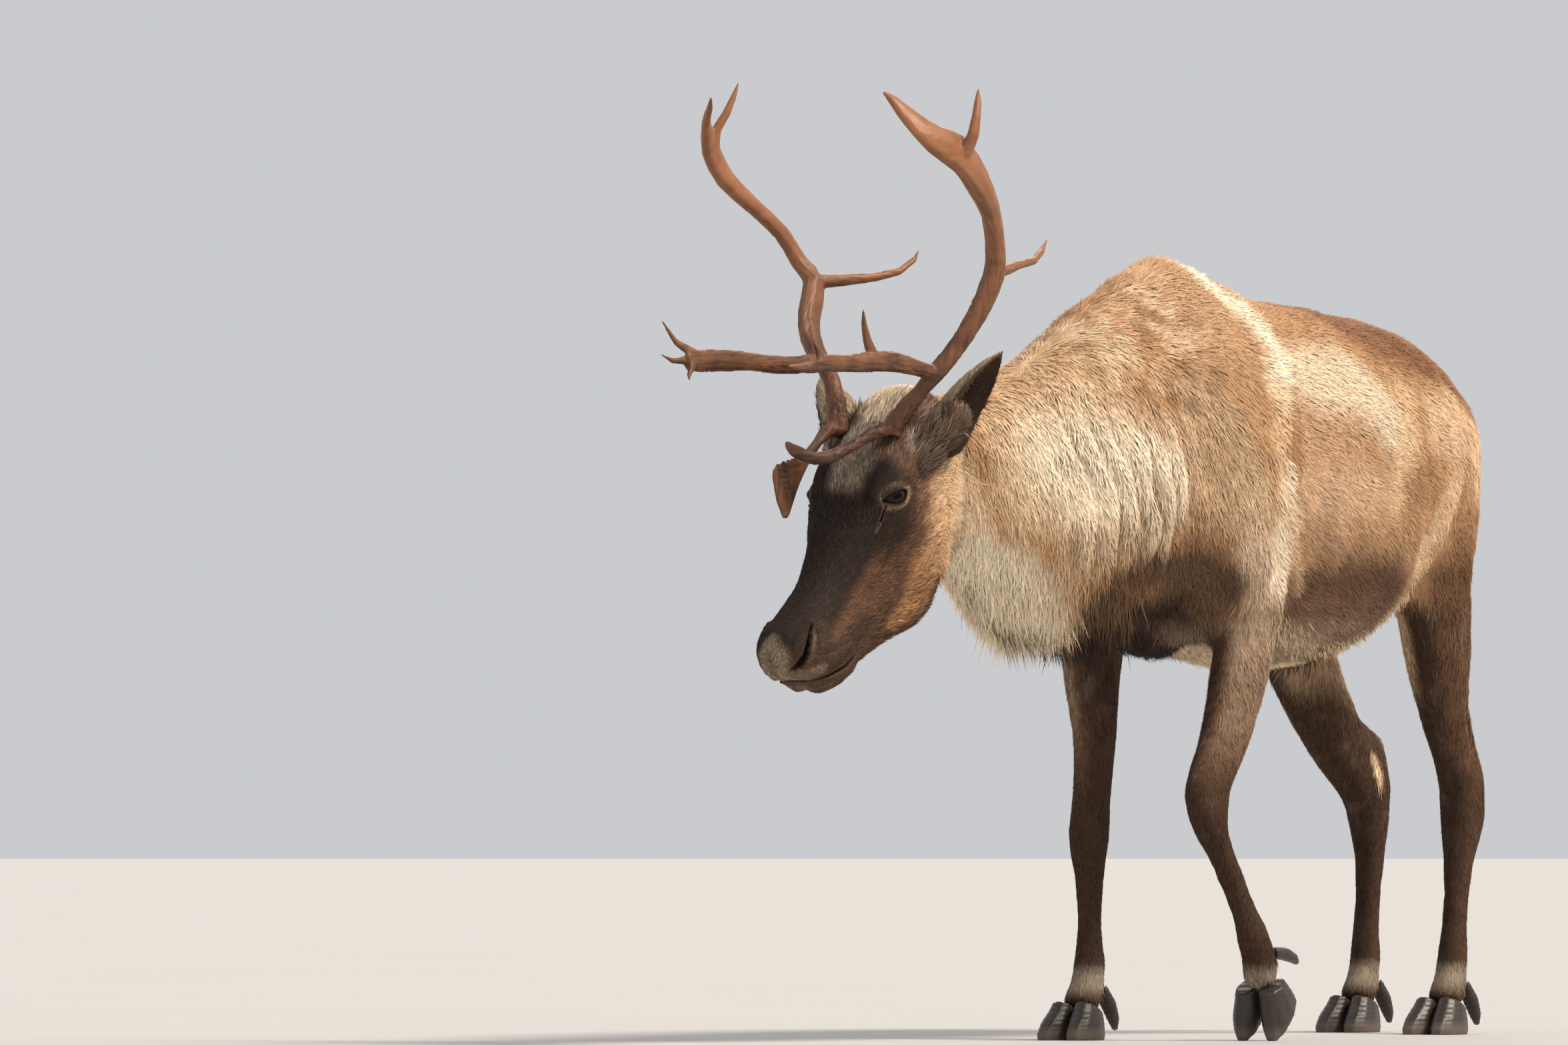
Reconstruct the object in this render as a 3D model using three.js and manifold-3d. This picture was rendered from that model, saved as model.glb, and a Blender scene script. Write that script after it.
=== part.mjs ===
// A reindeer bull, life size, stepping forward with its head low and its left forefoot just down.
// Millimetres, +Z up. It faces -X and its left side is -Y. The numbers are measured from the point on
// the ground under its withers, and the finished group is moved so that its box stands over its middle.
import * as THREE from "three";
import { LoftGeometry } from "three/addons/geometries/LoftGeometry.js";
import { mergeVertices } from "three/addons/utils/BufferGeometryUtils.js";
import Module from "manifold-3d";

const wasm = await Module();
wasm.setup();

// Driving dimensions
const GAP = 0.3; // left between pieces that touch
const HEAD_PITCH = 52; // degrees below level
const HEAD_TURN = 12; // degrees to the animal's right
const BURR_CENTRE = [-676, 105, 858]; // midway between the two antler bases
const EYE_RADIUS = 19;
const EYE_PLACE = [93, -46, 61.5]; // down the face, out of the brow line, out from the middle
const EYE_LOOK = [0.2, 0.3, 0.93]; // down the face, out of the brow line, sideways
const EYE_LINE = [0.84, 0.53]; // from the rear corner to the front one: down the face, out of the brow line
const LID_THICKNESS = 3;
const EYE_SLOT = { long: 20, high: 11, point: 1.3 }; // half sizes of the opening between the lids
const EAR_WALL = 5;
const EAR_BOWL = { start: 0.22, length: 0.76 }; // where the ear's hollow lies, as shares of its length
const MOUTH_GAPE = 1.6; // half height of the line of the mouth
const MOUTH_DEPTH = 9;
const LEFT = -1;
const RIGHT = 1;

const vec = (x, y, z) => new THREE.Vector3(x, y, z);
const radians = THREE.MathUtils.degToRad;
const UP = vec(0, 0, 1);
const ACROSS = vec(0, 1, 0);

// Where a smooth curve through the even run a, b, c, d stands, a share t of the way from b to c.
function onCurve(a, b, c, d, t) {
  const bend = 2 * a - 5 * b + 4 * c - d;
  const twist = 3 * (b - c) + d - a;
  return b + 0.5 * t * (c - a + t * (bend + t * twist));
}

// The given rows of numbers with others set between them on smooth curves.
function refined(rows, steps) {
  const last = rows.length - 1;
  const at = (i) => rows[Math.min(Math.max(i, 0), last)];
  const out = [];
  for (let i = 0; i < last; i++) {
    for (let k = 0; k < steps; k++) {
      const between = (b, n) => onCurve(at(i - 1)[n], b, at(i + 1)[n], at(i + 2)[n], k / steps);
      out.push(at(i).map(between));
    }
  }
  out.push([...rows[last]]);
  return out;
}

// Frames: each takes the direction of a loft and gives the axes of its rings, sideways and up.
const upright = (along) => [UP.clone().cross(along).normalize(), UP];
const fixed = (side, up) => () => [side, up];
const leaning = (lean) => (along) => {
  const side = lean.clone().addScaledVector(along, -lean.dot(along)).normalize();
  return [side, side.clone().cross(along)];
};
const square = leaning(ACROSS);

// A point of a ring. Crown and keel say how full its upper and lower half are: 1 is an ellipse, and
// less is boxier.
function ringPoint(angle, width, rise, drop, crown, keel) {
  const c = Math.cos(angle);
  const s = Math.sin(angle);
  const fullness = s > 0 ? crown : keel;
  const across = width * Math.sign(c) * Math.abs(c) ** fullness;
  const height = (s > 0 ? rise : drop) * Math.sign(s) * Math.abs(s) ** fullness;
  return [across, height];
}

// The rings of a loft. A row holds a ring's centre x, y, z, its half width, its rise and drop from the
// centre, and its crown and keel where they aren't 1. Every size grows by the same amount where a
// neighbour is cut to fit.
function ringsOf(rows, { sides = 16, steps = 2, frame = square, grow = 0 } = {}) {
  const full = rows.map((row) => [...row, 1, 1].slice(0, 8));
  const fine = refined(full, steps);
  const centres = fine.map(([x, y, z]) => vec(x, y, z));
  const last = centres.length - 1;
  return fine.map((row, i) => {
    const before = centres[Math.max(i - 1, 0)];
    const along = centres[Math.min(i + 1, last)].clone().sub(before).normalize();
    const [width, rise, drop] = row.slice(3, 6).map((size) => size + grow);
    const [side, up] = frame(along);
    const handed = Math.sign(side.clone().cross(up).dot(along));
    const points = Array.from({ length: sides }, (_, k) => {
      const turn = (handed * 2 * Math.PI * k) / sides;
      const [across, height] = ringPoint(turn, width, rise, drop, row[6], row[7]);
      return centres[i].clone().addScaledVector(side, across).addScaledVector(up, height);
    });
    return { points, along, centre: centres[i] };
  });
}

// A geometry as a solid that can be joined and cut, with its faces pointing out.
function solidOf(geometry) {
  const bare = new THREE.BufferGeometry();
  bare.setAttribute("position", geometry.getAttribute("position"));
  bare.setIndex(geometry.index);
  const merged = mergeVertices(bare, 1e-4);
  const vertProperties = merged.getAttribute("position").array;
  const triVerts = new Uint32Array(merged.index.array);
  return new wasm.Manifold(new wasm.Mesh({ numProp: 3, vertProperties, triVerts }));
}

// A run of rings as a solid, with each end moved out along its own direction.
function skinned(rings, startOut = 0, endOut = 0) {
  const moved = (ring, distance) => ring.points.map((p) => p.clone().addScaledVector(ring.along, distance));
  const sections = rings.map((ring) => ring.points);
  sections[0] = moved(rings[0], -startOut);
  sections[sections.length - 1] = moved(rings[rings.length - 1], endOut);
  return solidOf(new LoftGeometry(sections, { capStart: true, capEnd: true }));
}

function lofted(rows, options = {}) {
  const { grow = 0 } = options;
  return skinned(ringsOf(rows, options), grow, grow);
}

// A loft divided at some of its rows into separate solids that lie GAP apart.
function divided(rows, cuts, options = {}) {
  const { steps = 2, grow = 0 } = options;
  const rings = ringsOf(rows, options);
  const ends = [0, ...cuts.map((cut) => cut * steps), rings.length - 1];
  const inner = grow - GAP / 2;
  return ends.slice(1).map((end, i) => {
    const startOut = i ? inner : grow;
    const endOut = i < cuts.length ? inner : grow;
    return skinned(rings.slice(ends[i], end + 1), startOut, endOut);
  });
}

const joined = (solids) => solids.reduce((whole, next) => whole.add(next));
const without = (solid, cutters) => cutters.reduce((rest, cutter) => rest.subtract(cutter), solid);

// Only the largest closed surface of a solid, which drops loose scraps and fills sealed hollows.
function largest(solid) {
  return solid.decompose().reduce((a, b) => (a.volume() > b.volume() ? a : b));
}

// A ball by its centre and radius, with its poles along the last of the given axes.
function ball(centre, radius, axes) {
  const place = new THREE.Matrix4().makeBasis(...axes).setPosition(centre);
  const round = new THREE.SphereGeometry(radius, BALL_SIDES, BALL_SIDES / 2);
  return solidOf(round.rotateX(Math.PI / 2).applyMatrix4(place));
}

// The part of a solid on the side of a plane that its normal points to, less half of GAP.
function trimmed(solid, normal, point) {
  const n = normal.clone().normalize();
  return solid.trimByPlane(n.toArray(), n.dot(point) + GAP / 2);
}

// Head frame: down the face, out of the forehead, and out to the animal's left.
const heading = vec(-1, 0, 0).applyAxisAngle(UP, -radians(HEAD_TURN));
const leftward = UP.clone().cross(heading).normalize();
const faceAxis = heading.clone().applyAxisAngle(leftward, radians(HEAD_PITCH));
const browAxis = faceAxis.clone().cross(leftward);

// A point of the head by its place down the face, out of the brow line and out to the left.
function headPoint(down, out, left) {
  return vec(...BURR_CENTRE)
    .addScaledVector(faceAxis, down)
    .addScaledVector(browAxis, out)
    .addScaledVector(leftward, left);
}
const onHead = (rows) =>
  rows.map(([down, out, left, ...sizes]) => [...headPoint(down, out, left), ...sizes]);

// Torso: x, middle height, half width, rise, drop, crown, keel
const TRUNK = [
  [-190, 800, 60, 150, 150, 1, 1],
  [-150, 790, 116, 235, 200, 1.1, 1],
  [-80, 790, 150, 296, 234, 1.2, 1],
  [0, 790, 174, 329, 237, 1.3, 0.95],
  [80, 795, 192, 313, 240, 1.25, 0.9],
  [150, 795, 204, 297, 256, 1.15, 0.9],
  [230, 795, 215, 275, 266, 1.05, 0.9],
  [340, 800, 225, 265, 272, 1, 0.9],
  [450, 805, 224, 254, 260, 1, 0.9],
  [560, 820, 210, 231, 236, 1, 0.95],
  [660, 840, 190, 206, 208, 1.1, 1],
  [750, 860, 165, 171, 178, 1.25, 1],
  [820, 870, 130, 126, 145, 1.3, 1],
  [872, 864, 98, 90, 104, 1.2, 1],
  [908, 852, 52, 50, 60, 1, 1],
].map(([x, z, ...sizes]) => [x, 0, z, ...sizes]);

// Neck: x, y, middle height, half width, rise, drop, crown, keel
const NECK = [
  [60, 0, 850, 120, 200, 200, 1, 1],
  [-40, 0, 840, 152, 255, 270, 1.25, 1],
  [-130, 4, 820, 152, 256, 255, 1.3, 1],
  [-210, 14, 795, 145, 248, 225, 1.25, 1.05],
  [-290, 28, 775, 134, 220, 190, 1.15, 1.1],
  [-370, 44, 765, 121, 184, 165, 1.05, 1.1],
  [-450, 62, 778, 104, 147, 150, 1, 1.05],
  [-520, 78, 805, 84, 104, 125, 1, 1],
  [-575, 90, 830, 58, 66, 82, 1, 1],
];
const NECK_CUT = { at: [-120, 5, 830], normal: [-0.98, 0.12, 0.14] }; // where neck and torso part

// Mane under the throat, out to its tips: x, y, middle height, half width, rise, drop
const MANE = [
  [-506, 78, 702, 34, 40, 70],
  [-470, 70, 665, 62, 60, 88],
  [-420, 60, 645, 76, 60, 110],
  [-365, 47, 632, 82, 60, 120],
  [-300, 32, 640, 82, 60, 112],
  [-235, 20, 650, 78, 60, 100],
  [-175, 10, 660, 62, 60, 88],
];
const MANE_CORE = 0.62; // size of its core, which ends less than half way from the throat's skin to the tips
// Locks of the mane: how many along and across it, and their sizes
const LOCKS = {
  along: 6,
  across: 8,
  spread: 82, // degrees to each side of straight down
  lastRoot: 0.8, // how far along the mane the last locks start
  root: 0.4, // share of the way out to the tips where a lock starts
  bend: 0.94, // share of the way out where it turns back along the lie
  turnAt: 0.4, // share of the sweep where it turns back
  sweep: 0.24, // how far back the tip lies, as a share of the mane's length
  shortest: 0.94,
  longest: 1.05,
  steps: 8, // places between two rows of the mane where a lock may start
  seed: 7,
  shape: [
    [0, 18, 6],
    [0.4, 22, 7],
    [0.78, 16, 4],
    [1, 2, 1],
  ], // share of the way to the tip, half width, half thickness
};

// Head: down the face, middle out of the brow line, half width, rise, drop, crown, keel
const HEAD = [
  [-95, -75, 40, 42, 50, 1, 1],
  [-78, -72, 60, 58, 75, 0.9, 1],
  [-40, -68, 74, 65, 100, 0.85, 1],
  [0, -62, 79, 61, 138, 0.8, 1],
  [50, -58, 82, 56, 168, 0.8, 1],
  [93, -57, 80, 48, 184, 0.8, 1],
  [130, -62, 72, 45, 190, 0.85, 1],
  [165, -70, 62, 47, 175, 0.9, 1],
  [205, -78, 54, 50, 140, 0.95, 1],
  [245, -84, 49, 52, 113, 0.95, 1],
  [285, -86, 48, 55, 92, 0.9, 1],
  [322, -85, 50, 59, 78, 0.85, 0.95],
  [350, -82, 48, 61, 63, 0.85, 0.95],
  [370, -76, 41, 50, 48, 0.9, 1],
  [384, -67, 29, 35, 31, 1, 1],
  [392, -60, 16, 20, 16, 1, 1],
  [396, -57, 6, 8, 6, 1, 1],
].map(([down, out, ...sizes]) => [...headPoint(down, out, 0), ...sizes]);

// Legs: x, y away from the middle, height, half width, front, back. The first rows lie in the torso.
const SHOULDER = [
  [30, 62, 1030, 34, 60, 60],
  [14, 90, 955, 50, 95, 95],
  [0, 112, 860, 60, 116, 108],
  [-4, 124, 770, 60, 118, 110],
  [24, 127, 690, 54, 100, 95],
];
const HIP = [
  [765, 84, 925, 44, 70, 72],
  [735, 106, 860, 54, 110, 98],
  [700, 115, 780, 56, 125, 116],
  [668, 120, 700, 55, 112, 112],
];
const LEG_ROWS = {
  foreleg_left: [
    ...SHOULDER,
    [60, 118, 620, 47, 76, 76],
    [62, 112, 560, 43, 64, 64],
    [40, 112, 505, 41, 56, 56],
    [13, 112, 450, 37, 50, 50],
    [-18, 112, 402, 34, 44, 42],
    [-44, 112, 372, 33, 42, 38],
    [-58, 112, 343, 34, 42, 38],
    [-60, 116, 318, 31, 36, 34],
    [-60, 121, 294, 26, 27, 28],
    [-46, 127, 268, 22, 21, 25],
    [-22, 140, 212, 20, 21, 25],
    [-8, 147, 180, 20, 22, 26],
  ],
  foreleg_right: [
    ...SHOULDER,
    [46, 120, 615, 47, 76, 76],
    [32, 114, 555, 44, 68, 68],
    [29, 112, 512, 40, 59, 58],
    [32, 112, 473, 36, 51, 51],
    [37, 112, 435, 32, 44, 45],
    [33, 112, 388, 30, 37, 38],
    [26, 112, 341, 29, 34, 35],
    [19, 112, 295, 31, 38, 36],
    [17, 112, 262, 28, 33, 34],
    [19, 112, 225, 22, 26, 28],
    [20, 112, 172, 19, 23, 25],
    [19, 112, 138, 20, 24, 27],
  ],
  hindleg_left: [
    ...HIP,
    [660, 124, 628, 51, 86, 94],
    [688, 120, 546, 45, 72, 84],
    [729, 110, 474, 36, 54, 62],
    [783, 100, 414, 31, 46, 52],
    [820, 95, 363, 33, 46, 54],
    [819, 96, 317, 33, 44, 52],
    [802, 98, 256, 24, 31, 33],
    [784, 103, 200, 20, 25, 28],
    [768, 107, 150, 21, 25, 28],
  ],
  hindleg_right: [
    ...HIP,
    [684, 122, 618, 52, 88, 90],
    [715, 116, 545, 46, 78, 84],
    [754, 107, 485, 43, 67, 72],
    [811, 100, 425, 40, 58, 58],
    [860, 91, 388, 38, 60, 76],
    [884, 89, 350, 34, 52, 58],
    [894, 91, 305, 29, 42, 44],
    [902, 94, 258, 23, 30, 34],
    [906, 99, 200, 20, 26, 29],
    [905, 102, 148, 21, 26, 29],
  ],
};
// The rows where each leg leaves the torso and bends at its knee or hock
const LEG_CUTS = {
  foreleg_left: [5, 11],
  foreleg_right: [5, 12],
  hindleg_left: [4, 8],
  hindleg_right: [4, 9],
};
// Where the middle of each sole stands, and how far the toe points down
const FEET = {
  foreleg_left: { at: [70, -155], toeDown: 50, side: LEFT },
  foreleg_right: { at: [-32, 112], toeDown: 0, side: RIGHT },
  hindleg_left: { at: [704, -110], toeDown: 0, side: LEFT },
  hindleg_right: { at: [856, 104], toeDown: 0, side: RIGHT },
};
const TOE = 54; // from the middle of the sole to the tip of the claws
const TOE_SINK = 4; // how deep a pointed toe would reach into the ground, which the ground cuts off

// Foot, in its own place: forward of the sole's middle, height, half width, front, back
const PASTERN = [
  [-52, 108, 25, 30, 34],
  [-43, 82, 25, 25, 29],
  [-29, 60, 28, 27, 29],
  [-22, 43, 30, 30, 31],
];
// Claw: forward, outward, height, half width, front, back
const CLAW = [
  [4, 23, 0, 21, 50, 42],
  [4, 23, 8, 22, 50, 43],
  [0, 22, 24, 21, 42, 38],
  [-9, 19, 42, 18, 31, 30],
  [-16, 17, 62, 15, 22, 22],
];
// Dewclaw: forward, outward, height, half width, front, back
const DEWCLAW = [
  [-52, 17, 74, 11, 9, 9],
  [-70, 21, 50, 13, 10, 10],
  [-80, 24, 28, 10, 8, 8],
  [-84, 25, 12, 4, 4, 4],
];

// Tail: x, height, half width, front, back
const TAIL = [
  [880, 958, 20, 18, 18],
  [912, 932, 30, 20, 20],
  [936, 890, 36, 20, 20],
  [942, 845, 34, 18, 18],
  [938, 805, 22, 12, 12],
  [932, 782, 6, 5, 5],
].map(([x, z, ...sizes]) => [x, 0, z, ...sizes]);

// Antlers: forward, out, up from the burrs' middle, half thickness across, half thickness the other way.
// Each beam is divided at the forks named by their rows.
const ANTLERS = {
  left: {
    side: LEFT,
    forks: [3, 6],
    beam: [
      [2, 44, -14, 15, 15],
      [-3, 52, 4, 13.5, 13.5],
      [-14, 82, 42, 11, 11],
      [-25, 104, 70, 13, 14],
      [-45, 122, 103, 13, 13.5],
      [-68, 140, 148, 14, 15],
      [-89, 153, 202, 15, 18],
      [-81, 163, 242, 14, 17],
      [-52, 178, 291, 13, 19],
      [-5, 194, 329, 14, 26],
      [48, 206, 364, 12, 29],
      [93, 198, 383, 11, 24],
      [120, 177, 412, 9, 18],
      [137, 160, 437, 6, 9],
      [146, 150, 448, 2, 2.5],
    ],
    tines: {
      brow: [
        [-6, 46, -2, 9, 10],
        [20, 44, -8, 9.5, 10],
        [50, 39, -20, 9.5, 9.5],
        [100, 30, -44, 9.5, 10],
        [140, 24, -51, 9, 9],
        [160, 15, -44, 9.5, 10],
        [174, 9, -38, 8, 9],
        [180, 5, -31, 4, 5],
      ],
      bez: [
        [-23, 101, 68, 11, 12],
        [16, 103, 75, 10, 12],
        [70, 106, 82, 9, 15],
        [115, 109, 81, 9, 15],
        [170, 109, 77, 8, 13],
        [222, 110, 76, 7, 12.5],
        [262, 113, 68, 5, 8],
        [302, 110, 70, 2, 2.5],
      ],
      rear: [
        [-84, 150, 204, 8, 10],
        [-112, 157, 212, 7, 8],
        [-140, 153, 219, 6.5, 6.5],
        [-190, 143, 228, 6, 6],
        [-222, 131, 242, 5, 5],
        [-247, 120, 259, 1.8, 1.8],
      ],
      top: [
        [44, 212, 364, 8, 14],
        [42, 225, 392, 8, 11],
        [36, 225, 416, 6.5, 7.5],
        [28, 221, 436, 5.5, 6],
        [17, 213, 456, 1.8, 1.8],
      ],
    },
    spurs: {
      bez: [
        [
          [112, 108, 82, 7, 12],
          [128, 107, 110, 6, 8],
          [138, 110, 132, 4, 5],
          [146, 115, 152, 1.6, 1.6],
        ],
        [
          [226, 110, 76, 6, 10],
          [235, 108, 94, 4, 5],
          [246, 109, 106, 1.5, 1.5],
        ],
      ],
    },
  },
  right: {
    side: RIGHT,
    forks: [3, 6],
    beam: [
      [4, 46, -14, 15, 15],
      [-2, 54, 12, 13.5, 13.5],
      [-16, 75, 60, 12.5, 14],
      [-26, 106, 93, 13, 16],
      [-40, 134, 122, 15, 22],
      [-58, 152, 154, 15, 22],
      [-88, 168, 202, 15, 20],
      [-80, 190, 233, 11.5, 14],
      [-58, 202, 271, 10.5, 13],
      [-15, 215, 306, 10.5, 13],
      [26, 233, 344, 12, 17],
      [51, 240, 386, 10, 20],
      [83, 220, 420, 6.5, 9],
      [105, 195, 438, 5, 6],
      [122, 178, 452, 2, 2],
    ],
    tines: {
      brow: [
        [-4, 50, 0, 9, 10],
        [30, 48, -11, 8, 8.5],
        [70, 41, -38, 7, 9],
        [105, 31, -62, 6, 15],
        [132, 20, -76, 5, 29],
        [162, 9, -95, 4.5, 43],
        [190, 0, -87, 3, 31],
        [208, -6, -74, 1.5, 9],
      ],
      bez: [
        [-24, 102, 90, 11, 13],
        [30, 99, 83, 9, 13],
        [85, 97, 82, 8, 13.5],
        [135, 95, 85, 8, 13.5],
        [190, 95, 85, 8.5, 16],
        [245, 95, 83, 7, 16],
        [272, 94, 81, 5, 12],
      ],
      rear: [
        [-86, 168, 203, 9, 11],
        [-125, 147, 206, 8, 9],
        [-170, 126, 211, 7, 7],
        [-206, 111, 220, 6, 6],
        [-236, 108, 238, 4.5, 5],
        [-249, 111, 252, 1.8, 1.8],
      ],
      top: [
        [46, 238, 384, 8, 11],
        [47, 232, 412, 7, 8],
        [35, 223, 436, 6, 6.5],
        [25, 219, 459, 4.5, 4.5],
        [17, 217, 478, 1.8, 1.8],
      ],
    },
    spurs: {
      bez: [
        [
          [252, 93, 90, 5, 9],
          [285, 103, 108, 4.5, 5],
          [306, 111, 138, 1.6, 1.6],
        ],
        [
          [258, 94, 84, 5, 8],
          [292, 102, 82, 4, 4.5],
          [311, 109, 91, 1.6, 1.6],
        ],
        [
          [258, 93, 80, 5, 8],
          [278, 85, 64, 3.5, 4],
          [286, 78, 55, 1.6, 1.6],
        ],
      ],
    },
  },
};

const SIMPLE_TINES = ["rear", "top"]; // thin tines, whose rows need no others set between them

// Ear: share of the way to the tip, half width, half thickness
const EAR_ROOT = [8, -76, 58]; // down, out, left
const EAR = [
  [0, 28, 28],
  [0.16, 35, 33],
  [0.36, 37, 31],
  [0.6, 34, 25],
  [0.8, 24, 16],
  [0.94, 10, 7],
  [1, 2, 2],
];
const EAR_TIPS = { left: [-156, -36, 140], right: [-118, -30, -160] };
const EAR_OPENINGS = { left: [-0.2, 0.98, 0], right: [-0.2, -0.98, 0] }; // forward, left, up

// Nostril, left side: down, out, left, half width, rise, drop
const NOSTRIL = [
  [310, -38, 45, 3, 3, 3],
  [328, -39, 46, 8, 9, 9],
  [349, -46, 43, 10, 11, 11],
  [365, -57, 35, 9, 11, 11],
  [377, -68, 23, 6, 8, 8],
  [383, -76, 14, 2, 3, 3],
];
// Slit of the scent gland in front of the left eye
const TEAR_SLIT = [
  [112, -40, 76, 1, 4, 4],
  [124, -45, 74, 2, 5, 5],
  [140, -49, 70, 2, 5, 5],
  [148, -52, 67, 1, 3, 3],
];
// Line of the mouth, from its left corner to the middle of the lip: down, out, left
const MOUTH = [
  [276, -134, 56],
  [300, -137, 54],
  [344, -113, 50],
  [368, -98, 34],
  [380, -92, 14],
];

const trunkOptions = { sides: 26, frame: upright };
const neckOptions = { sides: 24, frame: upright };
const maneOptions = { sides: 12, frame: upright };
const headOptions = { sides: 24, frame: fixed(leftward, browAxis) };
const legOptions = { sides: 14, steps: 1 };
const clawOptions = { sides: 10, steps: 1 };
const dewclawOptions = { sides: 8, steps: 1 };
const antlerOptions = { sides: 8 };
const spurOptions = { sides: 7, steps: 1 };
const EAR_SIDES = 10;
const SLIT_SIDES = { nostril: 10, tear: 8, mouth: 6, eye: 18 };
const BALL_SIDES = 12;

// Takes a point of a foot's own place to where the foot stands. A pointed toe turns about its tip.
function footPlace({ at, toeDown }) {
  const place = new THREE.Matrix4().makeTranslation(at[0] - TOE, at[1], toeDown ? -TOE_SINK : 0);
  place.multiply(new THREE.Matrix4().makeRotationY(-radians(toeDown)));
  return place.multiply(new THREE.Matrix4().makeTranslation(TOE, 0, 0));
}

const footRows = (rows, place, outward) =>
  rows.map(([forward, out, up, ...sizes]) => {
    const centre = vec(-forward, out * outward, up).applyMatrix4(place);
    return [...centre, ...sizes];
  });

// One leg: its solids by name, its root in the torso, and what its neighbours are cut by.
function legParts(name, trunkFit) {
  const foot = FEET[name];
  const place = footPlace(foot);
  const forward = vec(-1, 0, 0).transformDirection(place);
  const limb = LEG_ROWS[name].map(([x, y, ...sizes]) => [x, foot.side * y, ...sizes]);
  const pastern = footRows(PASTERN.map(([f, z, ...sizes]) => [f, 0, z, ...sizes]), place, 1);
  const rows = [...limb, ...pastern];
  const cuts = [...LEG_CUTS[name], limb.length];
  const [root, upper, cannon, lower] = divided(rows, cuts, legOptions);
  const [rootFit, , , lowerFit] = divided(rows, cuts, { ...legOptions, grow: GAP });
  const coronet = ringsOf(rows, legOptions).at(-1);
  const coronetPoint = coronet.centre.clone().addScaledVector(coronet.along, GAP / 2);
  const parts = {
    [name + "_upper"]: largest(without(upper, [trunkFit])),
    [name + "_cannon"]: cannon,
    [name + "_pastern"]: lower,
  };
  const onGround = (solid) => largest(trimmed(solid, UP, vec(0, 0, -GAP / 2)));
  for (const [which, sign] of [["outer", 1], ["inner", -1]]) {
    const clawFrame = fixed(ACROSS, forward);
    const outward = sign * foot.side;
    const claw = lofted(footRows(CLAW, place, outward), { ...clawOptions, frame: clawFrame });
    const dewclaw = lofted(footRows(DEWCLAW, place, outward), dewclawOptions);
    parts[name + "_claw_" + which] = onGround(trimmed(claw, coronet.along, coronetPoint));
    parts[name + "_dewclaw_" + which] = onGround(without(dewclaw, [lowerFit]));
  }
  return { parts, root, rootFit };
}

// One antler's solids by name, cut to fit the head's own skin.
function antlerParts(name, { side, forks, beam, tines, spurs }, headFit) {
  const rowsOf = (rows) =>
    rows.map(([forward, out, up, width, depth]) => {
      const centre = vec(...BURR_CENTRE)
        .addScaledVector(heading, forward)
        .addScaledVector(leftward, -side * out)
        .addScaledVector(UP, up);
      return [...centre, width, depth, depth];
    });
  const beamFit = lofted(rowsOf(beam), { ...antlerOptions, grow: GAP });
  const [base, middle, crown] = divided(rowsOf(beam), forks, antlerOptions);
  const parts = {
    [name + "_base"]: largest(without(base, [headFit])),
    [name + "_beam"]: middle,
    [name + "_crown"]: crown,
  };
  for (const [which, rows] of Object.entries(tines)) {
    const steps = SIMPLE_TINES.includes(which) ? 1 : 2;
    const level = { ...antlerOptions, steps, frame: which === "top" ? square : upright };
    const spurSolids = (spurs[which] || []).map((spur) => lofted(rowsOf(spur), spurOptions));
    const tine = joined([lofted(rowsOf(rows), level), ...spurSolids]);
    parts[name + "_" + which + "_tine"] = largest(without(tine, [beamFit, headFit]));
  }
  return parts;
}

// One ear: a leaf hollowed from the side that it opens to.
function earSolid(which, side, headFit) {
  const root = headPoint(EAR_ROOT[0], EAR_ROOT[1], -side * EAR_ROOT[2]);
  const tip = headPoint(...EAR_TIPS[which]);
  const along = tip.clone().sub(root).normalize();
  const [forward, left, up] = EAR_OPENINGS[which];
  const opening = heading.clone().multiplyScalar(forward).addScaledVector(leftward, left);
  opening.addScaledVector(UP, up).addScaledVector(along, -opening.dot(along)).normalize();
  const options = { sides: EAR_SIDES, frame: fixed(opening.clone().cross(along), opening) };
  const at = (share, lift) => root.clone().lerp(tip, share).addScaledVector(opening, lift);
  const leaf = EAR.map(([share, width, depth]) => [...at(share, 0), width, depth, depth]);
  const bowl = EAR.slice(1, -1).map(([share, width, depth]) => {
    const inner = Math.max(width - EAR_WALL, 1);
    const lies = EAR_BOWL.start + EAR_BOWL.length * share;
    return [...at(lies, depth), inner, depth, Math.max(2 * depth - EAR_WALL, 1)];
  });
  const shell = without(lofted(leaf, options), [lofted(bowl, options)]);
  return largest(without(shell, [headFit]));
}

// One eye: the ball, the hood that carries the lids, and what the head is hollowed by.
function eyeParts(side) {
  const [down, out, left] = EYE_PLACE;
  const centre = headPoint(down, out, -side * left);
  const outward = leftward.clone().multiplyScalar(-side * EYE_LOOK[2]);
  outward.addScaledVector(faceAxis, EYE_LOOK[0]).addScaledVector(browAxis, EYE_LOOK[1]).normalize();
  const long = faceAxis.clone().multiplyScalar(EYE_LINE[0]).addScaledVector(browAxis, EYE_LINE[1]);
  long.addScaledVector(outward, -long.dot(outward)).normalize();
  const axes = [long, outward.clone().cross(long), outward];
  const slotRow = (reach, share) => {
    const { long: length, high, point } = EYE_SLOT;
    const middle = centre.clone().addScaledVector(outward, reach);
    return [...middle, length * share, high * share, high * share, point, point];
  };
  const slotOptions = { sides: SLIT_SIDES.eye, steps: 1, frame: fixed(axes[0], axes[1]) };
  const slot = lofted([slotRow(4, 0.9), slotRow(40, 1.3)], slotOptions);
  return {
    eye: ball(centre, EYE_RADIUS, axes),
    hood: ball(centre, EYE_RADIUS + LID_THICKNESS, axes),
    hollows: [ball(centre, EYE_RADIUS + GAP, axes), slot],
  };
}

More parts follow.
